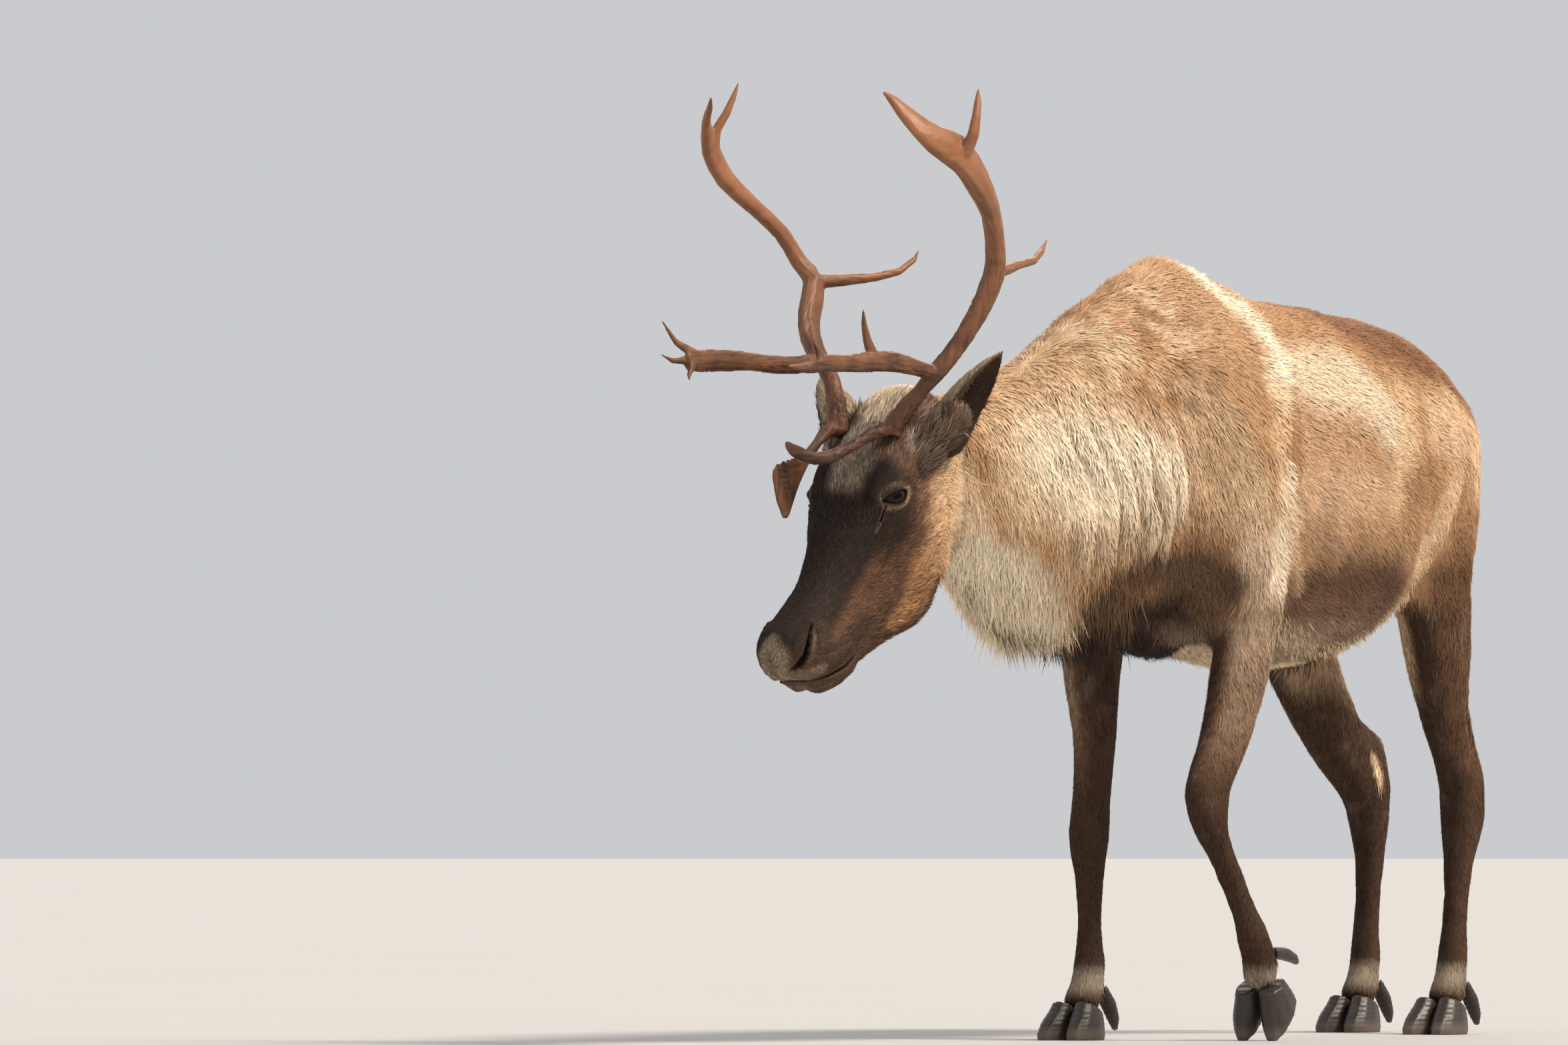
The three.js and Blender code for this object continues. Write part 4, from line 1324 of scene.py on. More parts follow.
HEAD_TONES = (
    Patch((104, 75, 56), ((170, -95, 58, 54), (240, -100, 50, 50), (300, -100, 48, 42)), 0.95),
    Patch((178, 132, 90), ((120, -165, 56, 50), (165, -192, 40, 44), (205, -182, 34, 26)), 0.95, 0.3),
    Patch((192, 152, 114), ((20, -100, 86, 46), (52, -132, 82, 56), (84, -170, 64, 60)), 0.95, 0.2),
    Patch((214, 178, 136), ((-20, -120, 80, 56), (20, -170, 70, 56), (60, -200, 50, 40)), 0.9),
    Patch((70, 50, 40), ((256, -130, 44, 36), (300, -120, 46, 40), (345, -95, 44, 30)), 0.9, 0.2),
    Patch((46, 36, 30), ((95, -20, 40, 56), (190, -34, 26, 60), (300, -36, 20, 56), (335, -36, 20, 44)),
          1.0, 0.62),
    Patch((122, 92, 68), ((56, -74, 84, 26), (84, -100, 80, 26)), 0.6, 0.1),
    Patch((46, 34, 27), ((78, -52, 80, 34), (118, -62, 78, 46), (150, -72, 66, 44)), 0.95, 0.1),
    Patch((164, 146, 128), ((-10, 0, 0, 40), (36, 0, 12, 40), (92, -10, 12, 34)), 0.85, 0.0),
    Patch((98, 80, 66), ((40, -16, 60, 26), (20, -24, 66, 24)), 0.6, 0.1),
    Patch((238, 214, 180), ((-84, -40, 0, 44), (-50, -14, 20, 40), (-24, -6, 0, 34)), 0.95),
    Patch((74, 60, 50), ((20, -60, 84, 26), (-10, -72, 80, 26)), 0.7),
    Patch((70, 55, 46), ((330, -60, 46, 34), (356, -50, 40, 22)), 0.7),
    Patch((136, 120, 102), ((358, -93, 42, 11), (378, -80, 30, 13), (386, -74, 20, 12)), 0.7),
    Patch((148, 132, 108), ((366, -30, 0, 20), (378, -40, 10, 22), (390, -54, 12, 20), (393, -66, 10, 16)),
          0.92, 0.2),
    Patch((132, 117, 101), ((376, -104, 10, 14), (352, -128, 26, 11)), 0.7),
    Patch((128, 106, 86), ((318, -36, 46, 6), (330, -52, 46, 6), (350, -60, 42, 6), (372, -76, 28, 7)), 0.5),
)


@dataclass
class Hide(Assembly):
    """The skin over all the flesh, from the muzzle to the pasterns, with the ears.

    The limits of the ramps that share out its forms and tones are millimetres from the ground under the
    withers, or on the head down the face and out of the brow line, and parts of a normal of length 1.
    """

    eyes: Eyes
    coat_depth: float = 8.5
    smoothing: int = 36
    ripple: float = 7.5
    ripple_spacing: float = 40.0
    ripple_slope: float = 0.22
    grain: float = 8.8
    fine: float = 3.0
    mane_share: float = 0.42
    dewclaw_root: float = 13.0
    ear_roots: tuple = ((6, -58, 74, 27), (-22, -50, 90, 29), (-44, -44, 104, 25))
    ear_grain: float = 3.0
    slit: tuple = (21.0, 6.4, 9.2)  # its half width, its rise and its drop
    lid: float = 2.3
    lid_swell: float = 2.4
    lid_depth: float = 5.5
    wet_gap: float = 1.8
    ear_sunk: tuple = (22, 10)  # towards the middle, and against that up the ear
    ear_line: dict = field(default_factory=lambda: {
        "left": ((8, -76, 58), (-156, -36, 140)),
        "right": ((8, -76, -58), (-118, -30, -160)),
    })
    flesh: tuple = ("torso", "tail", *LEG_NODES)

    def build(self) -> None:
        """Makes the skin, its relief and its markings."""
        self.marks: dict[str, np.ndarray] = {}
        self.head_tree = self.head_surface()
        self.skin = self.rough_body()
        self.shape = Shape(self.stance, self.skin.data)
        self.refine_head()
        self.find_regions()
        self.smooth()
        self.sink()
        for creases in (HEAD_CREASES, BODY_CREASES):
            for crease in creases:
                self.carve(crease, creases is HEAD_CREASES)
        for side in SIDES.values():
            self.open_eye(side)
        self.ripple_neck()
        self.add_ears()
        self.unwrap()
        self.survey()
        write_attribute(self.skin.data, "coat", self.tone)
        nodes = ["head", "neck", *self.flesh, "ear_left", "ear_right"]
        dress(self.skin, HideFinish().material(), "body_coat", *nodes)

    def add_head(self, bm: bmesh.types.BMesh) -> None:
        """Adds the closed head with the swell of its lids.

        Args:
            bm: the mesh that it is added to.
        """
        rows = refined(HEAD, 2)
        centres = self.stance.off_head(np.column_stack([rows[:, :2], np.zeros(len(rows))]))
        axes = np.array([self.stance.left, self.stance.out])
        self.bench.loft(bm, np.column_stack([centres, rows[:, 2:]]), 48, axes)
        for side in SIDES.values():
            self.bench.ball(bm, self.eyes.centre(side), self.eyes.radius + self.lid_swell)
            for down, out, left, radius in self.ear_roots:
                self.bench.ball(bm, self.stance.off_head(np.array([down, out, left * side])), radius)

    def head_surface(self) -> BVHTree:
        """The head alone at a fine grain, which the skin of the head is set on.

        Returns:
            Its surface, in the frame's metres.
        """
        bm = bmesh.new()
        self.add_head(bm)
        head = self.bench.remeshed(self.bench.piece("head_form", bm), self.fine)
        Shape(self.stance, head.data).relax(8, hold=0.7)
        made = bmesh.new()
        made.from_mesh(head.data)
        tree = BVHTree.FromBMesh(made)
        made.free()
        bpy.data.objects.remove(head)
        return tree

    def rough_body(self) -> bpy.types.Object:
        """All the flesh as one even surface.

        Returns:
            The skin's first form.
        """
        bm = self.bench.merged(list(self.flesh))
        self.bench.loft(bm, refined(NECK, 3), 48)
        mane = refined(MANE, 3)
        mane[:, 3] *= self.mane_share
        mane[:, 5] *= self.mane_share
        self.bench.loft(bm, mane, 24)
        for leg in LEGS:
            for side in ("outer", "inner"):
                low, high = self.stance.millimetres(np.array(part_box(f"{leg}_dewclaw_{side}")))
                root = np.array([low[0] + 9, (low[1] + high[1]) / 2, high[2] - 14])
                self.bench.ball(bm, root, self.dewclaw_root)
        self.add_head(bm)
        return self.bench.remeshed(self.bench.piece("skin", bm), self.grain)

    def refine_head(self) -> None:
        """Divides the faces of the head, and those about its eyes, nostrils and mouth once more."""
        for near in (self.on_face, self.by_features, self.by_eyes):
            bm = bmesh.new()
            bm.from_mesh(self.skin.data)
            places = np.array([vert.co[:] for vert in bm.verts])
            chosen = near(self.stance.on_head(self.stance.millimetres(places)))
            edges = [edge for edge in bm.edges if chosen[edge.verts[0].index] and chosen[edge.verts[1].index]]
            bmesh.ops.subdivide_edges(bm, edges=edges, cuts=1, use_grid_fill=True)
            bm.to_mesh(self.skin.data)
            bm.free()

    @staticmethod
    def on_face(places: np.ndarray) -> np.ndarray:
        """Which places on the head lie on the head itself."""
        down, out, left = places.T
        return ((down > -70) & (down < 460) & (np.abs(left) < 112) & (out > -262)
                & (out + 150 > -1.2 * (down + 20)))

    @staticmethod
    def by_features(places: np.ndarray) -> np.ndarray:
        """Which places on the head lie by the eyes, nostrils and mouth."""
        return (gap_to(EYE_PLACE, places) < 46) | (places[:, 0] > 262)

    @staticmethod
    def by_eyes(places: np.ndarray) -> np.ndarray:
        """Which places on the head lie by the eyes."""
        return (gap_to(TEAR_PLACE, places) < 24) | (gap_to(EYE_PLACE, places) < 33)

    def find_regions(self) -> None:
        """Where the head and the legs are, as a share for each vertex."""
        points = self.shape.points
        legs = self.bench.merged(LEG_NODES)
        leg_tree = BVHTree.FromBMesh(legs)
        legs.free()
        self.head = self.bench.nearness(points, self.head_tree, 4, 14)
        self.legs = self.shape.spread(self.bench.nearness(points, leg_tree, 5, 12), 4)

    def smooth(self) -> None:
        """Evens the skin, and sets the head's on its own form."""
        share = 0.5 * (1 - 0.9 * self.head) * (1 - 0.6 * self.legs)
        self.shape.relax(self.smoothing, share, hold=0.6)
        points = self.shape.points
        metres = self.stance.metres(points)
        for i in np.nonzero(self.head > 0)[0]:
            near = self.head_tree.find_nearest(Vector(metres[i]))[0]
            metres[i] += self.head[i] * (np.array(near) - metres[i])
        self.shape.points = self.stance.millimetres(metres)

    def sink(self) -> None:
        """Sets the skin in by the depth of the coat, which is least on the muzzle, face and feet."""
        points = self.shape.points
        head = self.stance.on_head(points)
        face = 3.0 - 2.2 * ramp(240, 330, head[:, 0]) - 0.8 * ramp(-60, -20, -np.abs(head[:, 0] - 93))
        leg = 2.2 + 2.3 * ramp(300, 600, points[:, 2])
        tail = ramp(905, 925, points[:, 0])
        body = self.coat_depth * (1 - 0.4 * tail) + 2 * ramp(-80, -160, points[:, 0])
        body -= 8 * ramp(0, -0.6, self.shape.normals[:, 2]) * ramp(-150, -200, points[:, 0])
        depth = body + self.legs * (leg - body)
        depth += self.head * (face - depth)
        self.shape.points = points - self.shape.normals * self.shape.spread(depth, 6)[:, None]

    def carve(self, crease: Crease, on_head: bool) -> None:
        """Presses a furrow, or raises a swelling, on both sides.

        Args:
            crease: the furrow or swelling.
            on_head: whether its places are the head's.
        """
        given = np.array(crease.line, float)
        for side in SIDES.values():
            line = on_side(given, side, on_head)
            if on_head:
                line = self.on_skin(self.stance.off_head(line))
            points = self.shape.points
            share = line_share(points, line, given[:, 3])
            lift = crease.height * np.clip(1 - share**2, 0, 1) ** crease.edge
            lift += crease.rim * bell(share - 1.5, 0.4) * (share > 0.9)
            self.shape.points = points + self.shape.normals * lift[:, None]
            inside = ramp(1.15, 0.7, share)
            self.marks[crease.name] = np.maximum(self.marks.get(crease.name, 0), inside)

    def on_skin(self, places: np.ndarray) -> np.ndarray:
        """The nearest places on the head's own form."""
        found = [self.head_tree.find_nearest(Vector(place))[0] for place in self.stance.metres(places)]
        return self.stance.millimetres(np.array(found))

    def open_eye(self, side: int) -> None:
        """Domes the lids over an eye, opens the slit between them and folds the skin about them.

        Args:
            side: 1 for the left eye, -1 for the right.
        """
        points = self.shape.points
        centre, axes = self.eyes.centre(side), self.eyes.axes(side)
        local = (points - centre) @ axes.T
        u, v, w = local.T
        near = (np.linalg.norm(local, axis=1) < 60) & (w > -8)
        radius = np.hypot(u, v)
        bow = np.clip(1 - (u / self.slit[0]) ** 2, 0, 1)
        upper, lower = -self.slit[1] * bow**0.8, self.slit[2] * bow
        inside = np.minimum(v - upper, lower - v)
        inside[np.abs(u) > self.slit[0]] = -9
        lid = self.eyes.radius + self.lid
        dome = np.sqrt(np.clip(lid**2 - radius**2, 0, None)) - 30 * ramp(lid * 0.93, lid * 1.1, radius)
        edge = bell(inside + 1.6, 1.3) * 0.7 * (inside < 0.4)
        fold = -1.8 * bell(v - upper + 6.5, 1.7) - 1.2 * bell(v - lower - 6, 1.8)
        outer = 3 * np.logaddexp(w / 3, dome / 3) + edge + fold * ramp(30, 20, radius)
        ball = np.sqrt(np.clip((self.eyes.radius - self.wet_gap) ** 2 - radius**2, 0, None))
        floor = np.maximum(ball, outer - self.lid_depth)
        share = ramp(-0.5, 0.7, inside)
        target = outer + share * (floor - outer)
        blend = ramp(34, 26, radius) * near
        local[:, 2] = w + blend * (target - w)
        self.shape.points = centre + local @ axes
        for name, values in {"slit": share, "lash": ramp(-2.6, -0.4, inside)}.items():
            self.marks[name] = np.maximum(self.marks.get(name, 0), values * near)
        ring = bell(np.hypot(u / 1.45, v) - 15.5, 3.4) * near * (0.3 + 0.7 * ramp(-6, 8, v - 0.3 * u))
        self.marks["ring"] = np.maximum(self.marks.get("ring", 0), ring)

    def ripple_neck(self) -> None:
        """Folds the loose coat of the neck into broken upright ripples."""
        points = self.shape.points
        cloud = Cloud(5)
        warp = cloud.at(points, 150) * 22 + cloud.at(points + 300, 60) * 9
        phase = (points[:, 0] + self.ripple_slope * (points[:, 2] - 780) + warp) / self.ripple_spacing
        wave = 1 - np.abs(2 * (phase % 1) - 1) ** 3.2 * 2
        place = np.hypot((points[:, 0] + 285) / 185, (points[:, 2] - 790) / 150)
        side = ramp(30, 70, np.abs(points[:, 1] + 0.17 * points[:, 0]))
        share = ramp(1.1, 0.5, place) * side * (1 - self.head)
        share *= np.clip(0.75 + 0.6 * cloud.at(points + 70, 70), 0.15, 1.2)
        self.fold = wave * share
        lumps = cloud.layered(points + 900, 60, 2) * 2.4 * (1 - self.head) * (1 - self.legs)
        self.shape.points = points + self.shape.normals * (self.fold * self.ripple + lumps)[:, None]

    def add_ears(self) -> None:
        """Joins the ears to the skin, with their roots sunk in the head, and widens the values to match."""
        bm = bmesh.new()
        bm.from_mesh(self.skin.data)
        cup, ear = [np.zeros(len(bm.verts))], [np.zeros(len(bm.verts))]
        self.ear_axes = []
        for name, side in SIDES.items():
            piece = self.bench.evened("ear", [f"ear_{name}"], self.ear_grain)
            shape = Shape(self.stance, piece.data)
            shape.relax(7, hold=0.6)
            points = shape.points
            root, tip = self.stance.off_head(np.array(self.ear_line[name]))
            along = unit(tip - root)
            opening = -0.2 * unit(self.stance.down * [1, 1, 0]) + 0.98 * side * self.stance.left
            opening = unit(opening - opening @ along * along)
            points = points - shape.normals * 0.6
            depth = ramp(46, 6, (points - root) @ along)
            points -= depth[:, None] * (side * self.stance.left * self.ear_sunk[0] - along * self.ear_sunk[1])
            shape.points = points
            cup.append(ramp(-0.1, 0.5, shape.normals @ opening))
            ear.append(np.clip((points - root) @ along / np.linalg.norm(tip - root), 0.02, 1))
            self.ear_axes.append((along, len(points)))
            bm.from_mesh(piece.data)
            bpy.data.objects.remove(piece)
        bm.to_mesh(self.skin.data)
        bm.free()
        extra = len(self.skin.data.vertices) - len(self.head)
        self.cup, self.ear = np.concatenate(cup), np.concatenate(ear)

        def widened(values: np.ndarray) -> np.ndarray:
            """The values with none for the ears."""
            return np.concatenate([values, np.zeros(extra)])

        self.head, self.legs, self.fold = widened(self.head), widened(self.legs), widened(self.fold)
        self.marks = {name: widened(values) for name, values in self.marks.items()}

    def unwrap(self) -> None:
        """Unwraps the skin's own shape, for the skin and for every tuft that roots in it."""
        self.skin.data.uv_layers.new(name="OFBake")
        for other in bpy.context.selected_objects:
            other.select_set(False)
        bpy.context.view_layer.objects.active = self.skin
        self.skin.select_set(True)
        bpy.ops.object.mode_set(mode="EDIT")
        bpy.ops.mesh.select_all(action="SELECT")
        bpy.ops.uv.smart_project(angle_limit=math.radians(70), island_margin=0.002, area_weight=0.2)
        bpy.ops.object.mode_set(mode="OBJECT")

    def survey(self) -> None:
        """Works out the coat at each vertex: its tone, its lie, and how long and how raised it is."""
        self.points, self.normals = self.shape.points, self.shape.normals
        self.on_head = self.stance.on_head(self.points)
        self.lay_tones()
        self.lie = self.lies()
        self.lengths()

    def lay_tones(self) -> None:
        """Works out the coat's linear colour at each vertex, with painted shade and light in some places."""
        points, normals, cloud = self.points, self.normals, Cloud(23)
        x, aside, z = points[:, 0], np.abs(points[:, 1]), points[:, 2]
        broad, fine = cloud.layered(points, 90), cloud.layered(points + 500, 22, 2)
        self.grizzle = fine
        side_view = points[:, [0, 2]] + np.stack([broad, fine], axis=1) * 9
        self.tone = np.tile(linear(Tone.COAT), (len(points), 1))
        for patch in TRUNK_TONES:
            self.lay(patch.tone, patch.share(side_view))
        mottled = ramp(190, 90, np.hypot(x + 190, (z - 985) * 1.1))
        self.lay(Tone.MOTTLE_DARK, mottled * ramp(0.1, 0.6, fine + broad * 0.4) * 0.6)
        self.lay(Tone.MOTTLE_PALE, mottled * ramp(-0.05, -0.6, fine + broad * 0.4) * 0.6)
        # Painted shade in the ripples' valleys, and painted light on their crests.
        self.lay(Tone.FOLD_DEPTH, ramp(-0.15, -0.9, self.fold) * 0.75)
        self.lay(Tone.FOLD_CREST, ramp(0.3, 1, self.fold) * 0.5)
        belly = ramp(-0.6, -0.9, normals[:, 2]) * ramp(0, 60, x) * ramp(640, 600, z)
        self.lay(Tone.BELLY, belly * 0.85)
        groin = ramp(170, 60, np.hypot(x - 600, z - 600)) * ramp(90, 40, aside)
        self.lay(Tone.GROIN, groin * 0.8)
        under_tail = ramp(120, 50, np.hypot(x - 900, (z - 860) * 0.8)) * ramp(70, 40, aside)
        self.lay(Tone.SEAT, under_tail * ramp(0.2, 0.5, normals[:, 0]) * 0.9)
        self.tone_legs()
        self.tone_head()
        roots = np.array(self.ear_roots)
        gaps = np.linalg.norm(mirrored(self.on_head)[:, None, :] - roots[None, :, :3], axis=2)
        self.ear_root = (gaps / (roots[:, 3] + 3)).min(axis=1)
        self.tone_ears()
        self.tone *= (1 + 0.07 * broad + 0.05 * fine)[:, None]

    def lay(self, colour: Tone | tuple, share: np.ndarray) -> None:
        """Lays a colour over the tone, by a share for each vertex."""
        self.tone += np.clip(share, 0, 1)[:, None] * (linear(colour) - self.tone)

    def tone_legs(self) -> None:
        """Lays the legs' browns, the bloom of the forearms and the pale hair over the hooves."""
        points, normals, z = self.points, self.normals, self.points[:, 2]
        outward = normals[:, 1] * np.sign(points[:, 1])
        fore = ramp(300, 250, points[:, 0])
        legs = np.maximum(self.legs, ramp(620, 560, z) * (1 - self.head) * ramp(40, 80, np.abs(points[:, 1])))
        self.lay(Tone.LEG, legs * 0.95)
        self.lay(Tone.SHIN, legs * ramp(420, 330, z) * 0.7)
        self.lay(Tone.FOREARM, legs * fore * ramp(370, 470, z) * ramp(-0.2, 0.5, outward) * 0.8)
        self.lay(Tone.ELBOW, legs * fore * ramp(500, 590, z) * ramp(0, 0.7, outward) * 0.8)
        self.lay(Tone.LEG_INSIDE, legs * ramp(0.0, -0.7, outward) * 0.75)
        self.lay(Tone.FORE_CANNON, legs * fore * ramp(360, 280, z) * 0.7)
        self.lay(Tone.HIND_FRONT, legs * (1 - fore) * ramp(-0.2, -0.8, normals[:, 0]) * 0.7)
        self.lay(Tone.LEG_REAR, legs * ramp(0.2, 0.9, normals[:, 0]) * ramp(180, 320, z) * 0.5)
        inner = ramp(470, 560, z) * ramp(0.0, -0.6, outward)
        self.lay(Tone.THIGH_INSIDE, legs * (1 - fore) * inner * 0.85)
        rise, back = z - 388, points[:, 0] - 855
        hock = np.hypot((rise * 0.84 - back * 0.54) / 32, (rise * 0.54 + back * 0.84) / 10)
        self.lay(Tone.HOCK, legs * ramp(1.15, 0.6, hock) * ramp(0.1, -0.4, outward) * (1 - fore) * 0.95)
        self.lay(Tone.LEG_GRIZZLE, legs * ramp(0.2, 0.9, self.grizzle) * ramp(250, 400, z) * 0.25)
        self.lay(Tone.PASTERN, ramp(112, 92, z) * ramp(55, 80, z) * 0.6 * legs)

    def tone_head(self) -> None:
        """Lays the face's colours, and painted shade in the nostrils and the mouth's slit."""
        places = mirrored(self.on_head)
        drift = self.grizzle[:, None] * 4
        self.lay(Tone.FACE, self.head)
        for patch in HEAD_TONES:
            self.lay(patch.tone, patch.share(places + drift) * self.head)
        grey = ramp(70, 10, np.hypot(places[:, 0] - 20, places[:, 2] * 0.6)) * self.head
        self.lay(Tone.BROW_PALE, grey * ramp(0.0, 0.8, self.grizzle) * 0.6)
        self.lay(Tone.BROW_DARK, grey * ramp(0.0, -0.8, self.grizzle) * 0.5)
        self.lay(Tone.EYE_RING, self.marks["ring"] * self.head * 0.7)
        self.lay(Tone.TEAR_RIM, ramp(0.02, 0.4, self.marks["tear"]) * 0.7)
        # The tear groove's own dark, and the nostrils and the mouth's slit in near black: their dark skin with
        # painted shade in the openings.
        for name in ("nostril", "mouth", "tear"):
            self.lay(Tone.PITCH, ramp(0.35, 0.8, self.marks[name]) * 0.95)
        self.lay(Tone.LASH, np.maximum(self.marks["lash"], self.marks["slit"]) * 0.95)

    def tone_ears(self) -> None:
        """Lays the ears' colours: grey brown behind, dark within, with a pale rim."""
        ear = (self.ear > 0).astype(float)
        self.lay(Tone.EAR_BACK, ear * (1 + 0.3 * self.grizzle))
        self.lay(Tone.EAR_TIP, ear * ramp(0.3, 0.9, self.ear) * 0.5)
        self.lay(Tone.EAR_INSIDE, ear * ramp(0.1, 0.4, self.cup) * 0.95)
        rim = bell(self.cup - 0.1, 0.12)
        self.lay(Tone.EAR_RIM, ear * rim * ramp(0.24, 0.42, self.ear) * 0.8)
        root = (1 - ear) * self.head * ramp(1.15, 0.7, self.ear_root)
        self.lay(Tone.EAR_ROOT, root * (1 + 0.3 * self.grizzle) * 0.85)

    def lies(self) -> np.ndarray:
        """The way that the hair lies at each vertex, along the surface.

        Returns:
            One direction in each row.
        """
        points, normals = self.points, self.normals
        x, z = points[:, 0], points[:, 2]
        down, out = self.stance.down, self.stance.out
        lie = np.tile(np.array([1.0, 0, -0.5]), (len(points), 1))

        def turn(way: tuple | np.ndarray, share: np.ndarray) -> None:
            """Turns the lie another way."""
            nonlocal lie
            lie = lie + np.clip(share, 0, 1)[:, None] * (unit(np.array(way, float)) - unit(lie))

        turn((1, 0, -0.12), ramp(0.5, 0.85, normals[:, 2]))
        turn((0.22, 0, -1), ramp(-60, -200, x) * ramp(1010, 930, z))
        turn((0.8, 0, -0.6), ramp(-60, -200, x) * ramp(950, 1010, z))
        turn((0.25, 0, -1), ramp(-60, -200, x) * ramp(740, 660, z))
        turn((0.45, 0, -1), ramp(90, 20, x) * ramp(-200, -120, x) * ramp(1000, 900, z))
        turn((0.5, 0, -1), ramp(620, 760, x))
        turn((0.2, 0, -1), ramp(540, 620, x) * ramp(820, 720, z))
        turn((0.05, 0, -1), self.legs)
        turn(-down - 0.3 * out, self.head)
        turn(-down + 0.25 * out, self.head * ramp(-60, -20, self.on_head[:, 1]))
        start = len(points) - sum(count for _, count in self.ear_axes)
        for along, count in self.ear_axes:
            lie[start : start + count] = along
            start += count
        lie = self.shape.spread(unit(flattened(lie, normals)), 6)
        swirl = Cloud(31).layered(points, 70, 2) * 0.3
        lie = unit(flattened(lie, normals))
        return unit(lie + swirl[:, None] * np.cross(normals, lie))

    def lengths(self) -> None:
        """How long the coat is at each vertex, in millimetres, and how far it stands up, in radians."""
        points, normals = self.points, self.normals
        x, z = points[:, 0], points[:, 2]
        cloud = Cloud(47)
        length = 24 + 8 * ramp(1040, 1100, z) * ramp(80, 0, x)
        length += 16 * ramp(-0.2, -0.7, normals[:, 2]) * ramp(640, 600, z)
        length += 16 * ramp(900, 920, x)
        leg = 9 + 8 * ramp(350, 560, z)
        length += self.legs * (leg - length)
        down, out, _ = self.on_head.T
        eye = np.linalg.norm(mirrored(self.on_head) - EYE_PLACE, axis=1)
        face = 10 + 8 * ramp(60, -40, down) + 6 * ramp(-150, -190, out) - 6 * ramp(230, 350, down)
        face -= 5 * ramp(50, 26, eye)
        length += self.head * (face - length)
        rim = bell(self.cup - 0.4, 0.3)
        length = np.where(self.ear > 0, 12 - 6 * ramp(0.6, 1, self.ear) + 5 * rim, length)
        self.length = length * (1 + 0.12 * cloud.at(points, 40))
        lift = 0.24 + 0.25 * ramp(1030, 1090, z) * ramp(40, -40, x)
        lift += 0.12 * ramp(-0.2, -0.8, normals[:, 2]) + 0.12 * np.clip(self.fold, 0, 1)
        lift = lift * (1 - 0.15 * self.legs) + 0.08 * cloud.layered(points + 200, 36, 2)
        self.lift = np.clip(lift, 0.06, 0.9)
        bare = np.maximum.reduce([self.marks[name] for name in ("nostril", "mouth", "tear", "slit", "lash")])
        self.furred = np.clip(1 - bare, 0, 1) * np.where(self.ear > 0, 1 - 0.75 * self.cup, 1)
        self.length *= 1 - 0.6 * np.clip(self.shape.spread(bare, 14) * 4, 0, 1)


@dataclass
class Roots:
    """Where tufts grow, in millimetres from the withers, and what each takes from the skin."""

    points: np.ndarray
    normals: np.ndarray
    lie: np.ndarray
    tone: np.ndarray
    length: np.ndarray
    lift: np.ndarray
    patch: np.ndarray


@dataclass(frozen=True)
class Brush:
    """How tufts of one kind are shaped."""

    rings: int = 1
    width: float = 4.0
    flatness: float = 0.42
    stray: float = 0.16
    clump: float = 0.3
    bend: float = 0.6
    wave: float = 0.0
    sunk: float = 0.05
    # Darker roots are painted shade deep in the coat; the paler tips are partly the hair's own.
    root_shade: float = 0.5
    tip_shade: float = 1.25
    vary: float = 0.15
    round_share: float = 0.36

    def comb(self, roots: Roots, rng: np.random.Generator, cloud: Cloud, way: np.ndarray | None) -> tuple:
        """Lays tufts out from their roots, each through its rings of three points to its tip.

        Args:
            roots: where they stand.
            rng: what their differences are drawn from.
            cloud: the noise that turns and lifts neighbours alike.
            way: the direction that they bend to, or none where they bend back to the skin.

        Returns:
            Each tuft's points, the direction across its root, and its length.
        """
        count, k = len(roots.points), self.rings
        side = np.cross(roots.normals, roots.lie)
        turn = rng.normal(0, self.stray, count) + self.clump * cloud.at(roots.points, 16)
        lie = roots.lie * np.cos(turn)[:, None] + side * np.sin(turn)[:, None]
        side = np.cross(roots.normals, lie)
        lift = roots.lift * rng.uniform(0.6, 1.35, count) + 0.1 * cloud.at(roots.points + 400, 13)
        lift = np.clip(lift, 0.03, 1.2)
        length = roots.length * rng.uniform(0.72, 1.18, count)
        start = lie * np.cos(lift)[:, None] + roots.normals * np.sin(lift)[:, None]
        goal = lie if way is None else unit(way)
        sway = rng.uniform(0, 2 * math.pi, count)
        centre = roots.points - roots.normals * (self.sunk * length)[:, None]
        rings = []
        for i, t in enumerate(np.arange(k + 1) / k):
            ahead = unit(start + (goal - start) * self.bend * t)
            across = unit(np.cross(roots.normals, ahead))
            up = np.cross(ahead, across)
            width = self.width * (0.75 + 0.7 * t) * (1 - t**1.7)
            width = width * (length / np.maximum(roots.length.mean(), 1e-6)) ** 0.35
            middle = centre + across * (self.wave * np.sin(sway + 4 * t) * t)[:, None]
            if i < k:
                half = (width / 2)[:, None]
                crest = middle + up * half * 2 * self.flatness
                rings.append(np.stack([middle + across * half, crest, middle - across * half], axis=1))
                step = unit(start + (goal - start) * self.bend * (t + 0.5 / k))
                centre = centre + step * (length / k)[:, None]
            else:
                rings.append(middle[:, None, :])
        return np.concatenate(rings, axis=1), side, length

    def faces(self) -> np.ndarray:
        """The triangles of a tuft.

        Returns:
            Each triangle's corners, in an array.
        """
        sides = ((0, 1), (1, 2), (2, 0))
        last = 3 * self.rings - 3
        faces = [(0, 2, 1)]
        for low in range(0, last, 3):
            for a, b in sides:
                faces += [(low + a, low + b, low + 3 + b), (low + a, low + 3 + b, low + 3 + a)]
        return np.array(faces + [(last + a, last + b, last + 3) for a, b in sides])


@dataclass(frozen=True)
class Fringe:
    """Longer locks along a line on both sides, whose places end in how far they spread.

    On the head, its places and its way are down the face, out of the brow line and out from the middle.
    Elsewhere they are along the frame's axes, and the line is the left side's.
    """

    name: str
    line: tuple
    count: int
    length: tuple
    way: tuple
    lift: float = 0.35
    width: float = 5.0
    tone: tuple | None = None
    rings: int = 3
    full_height: float | None = None
    on_head: bool = False


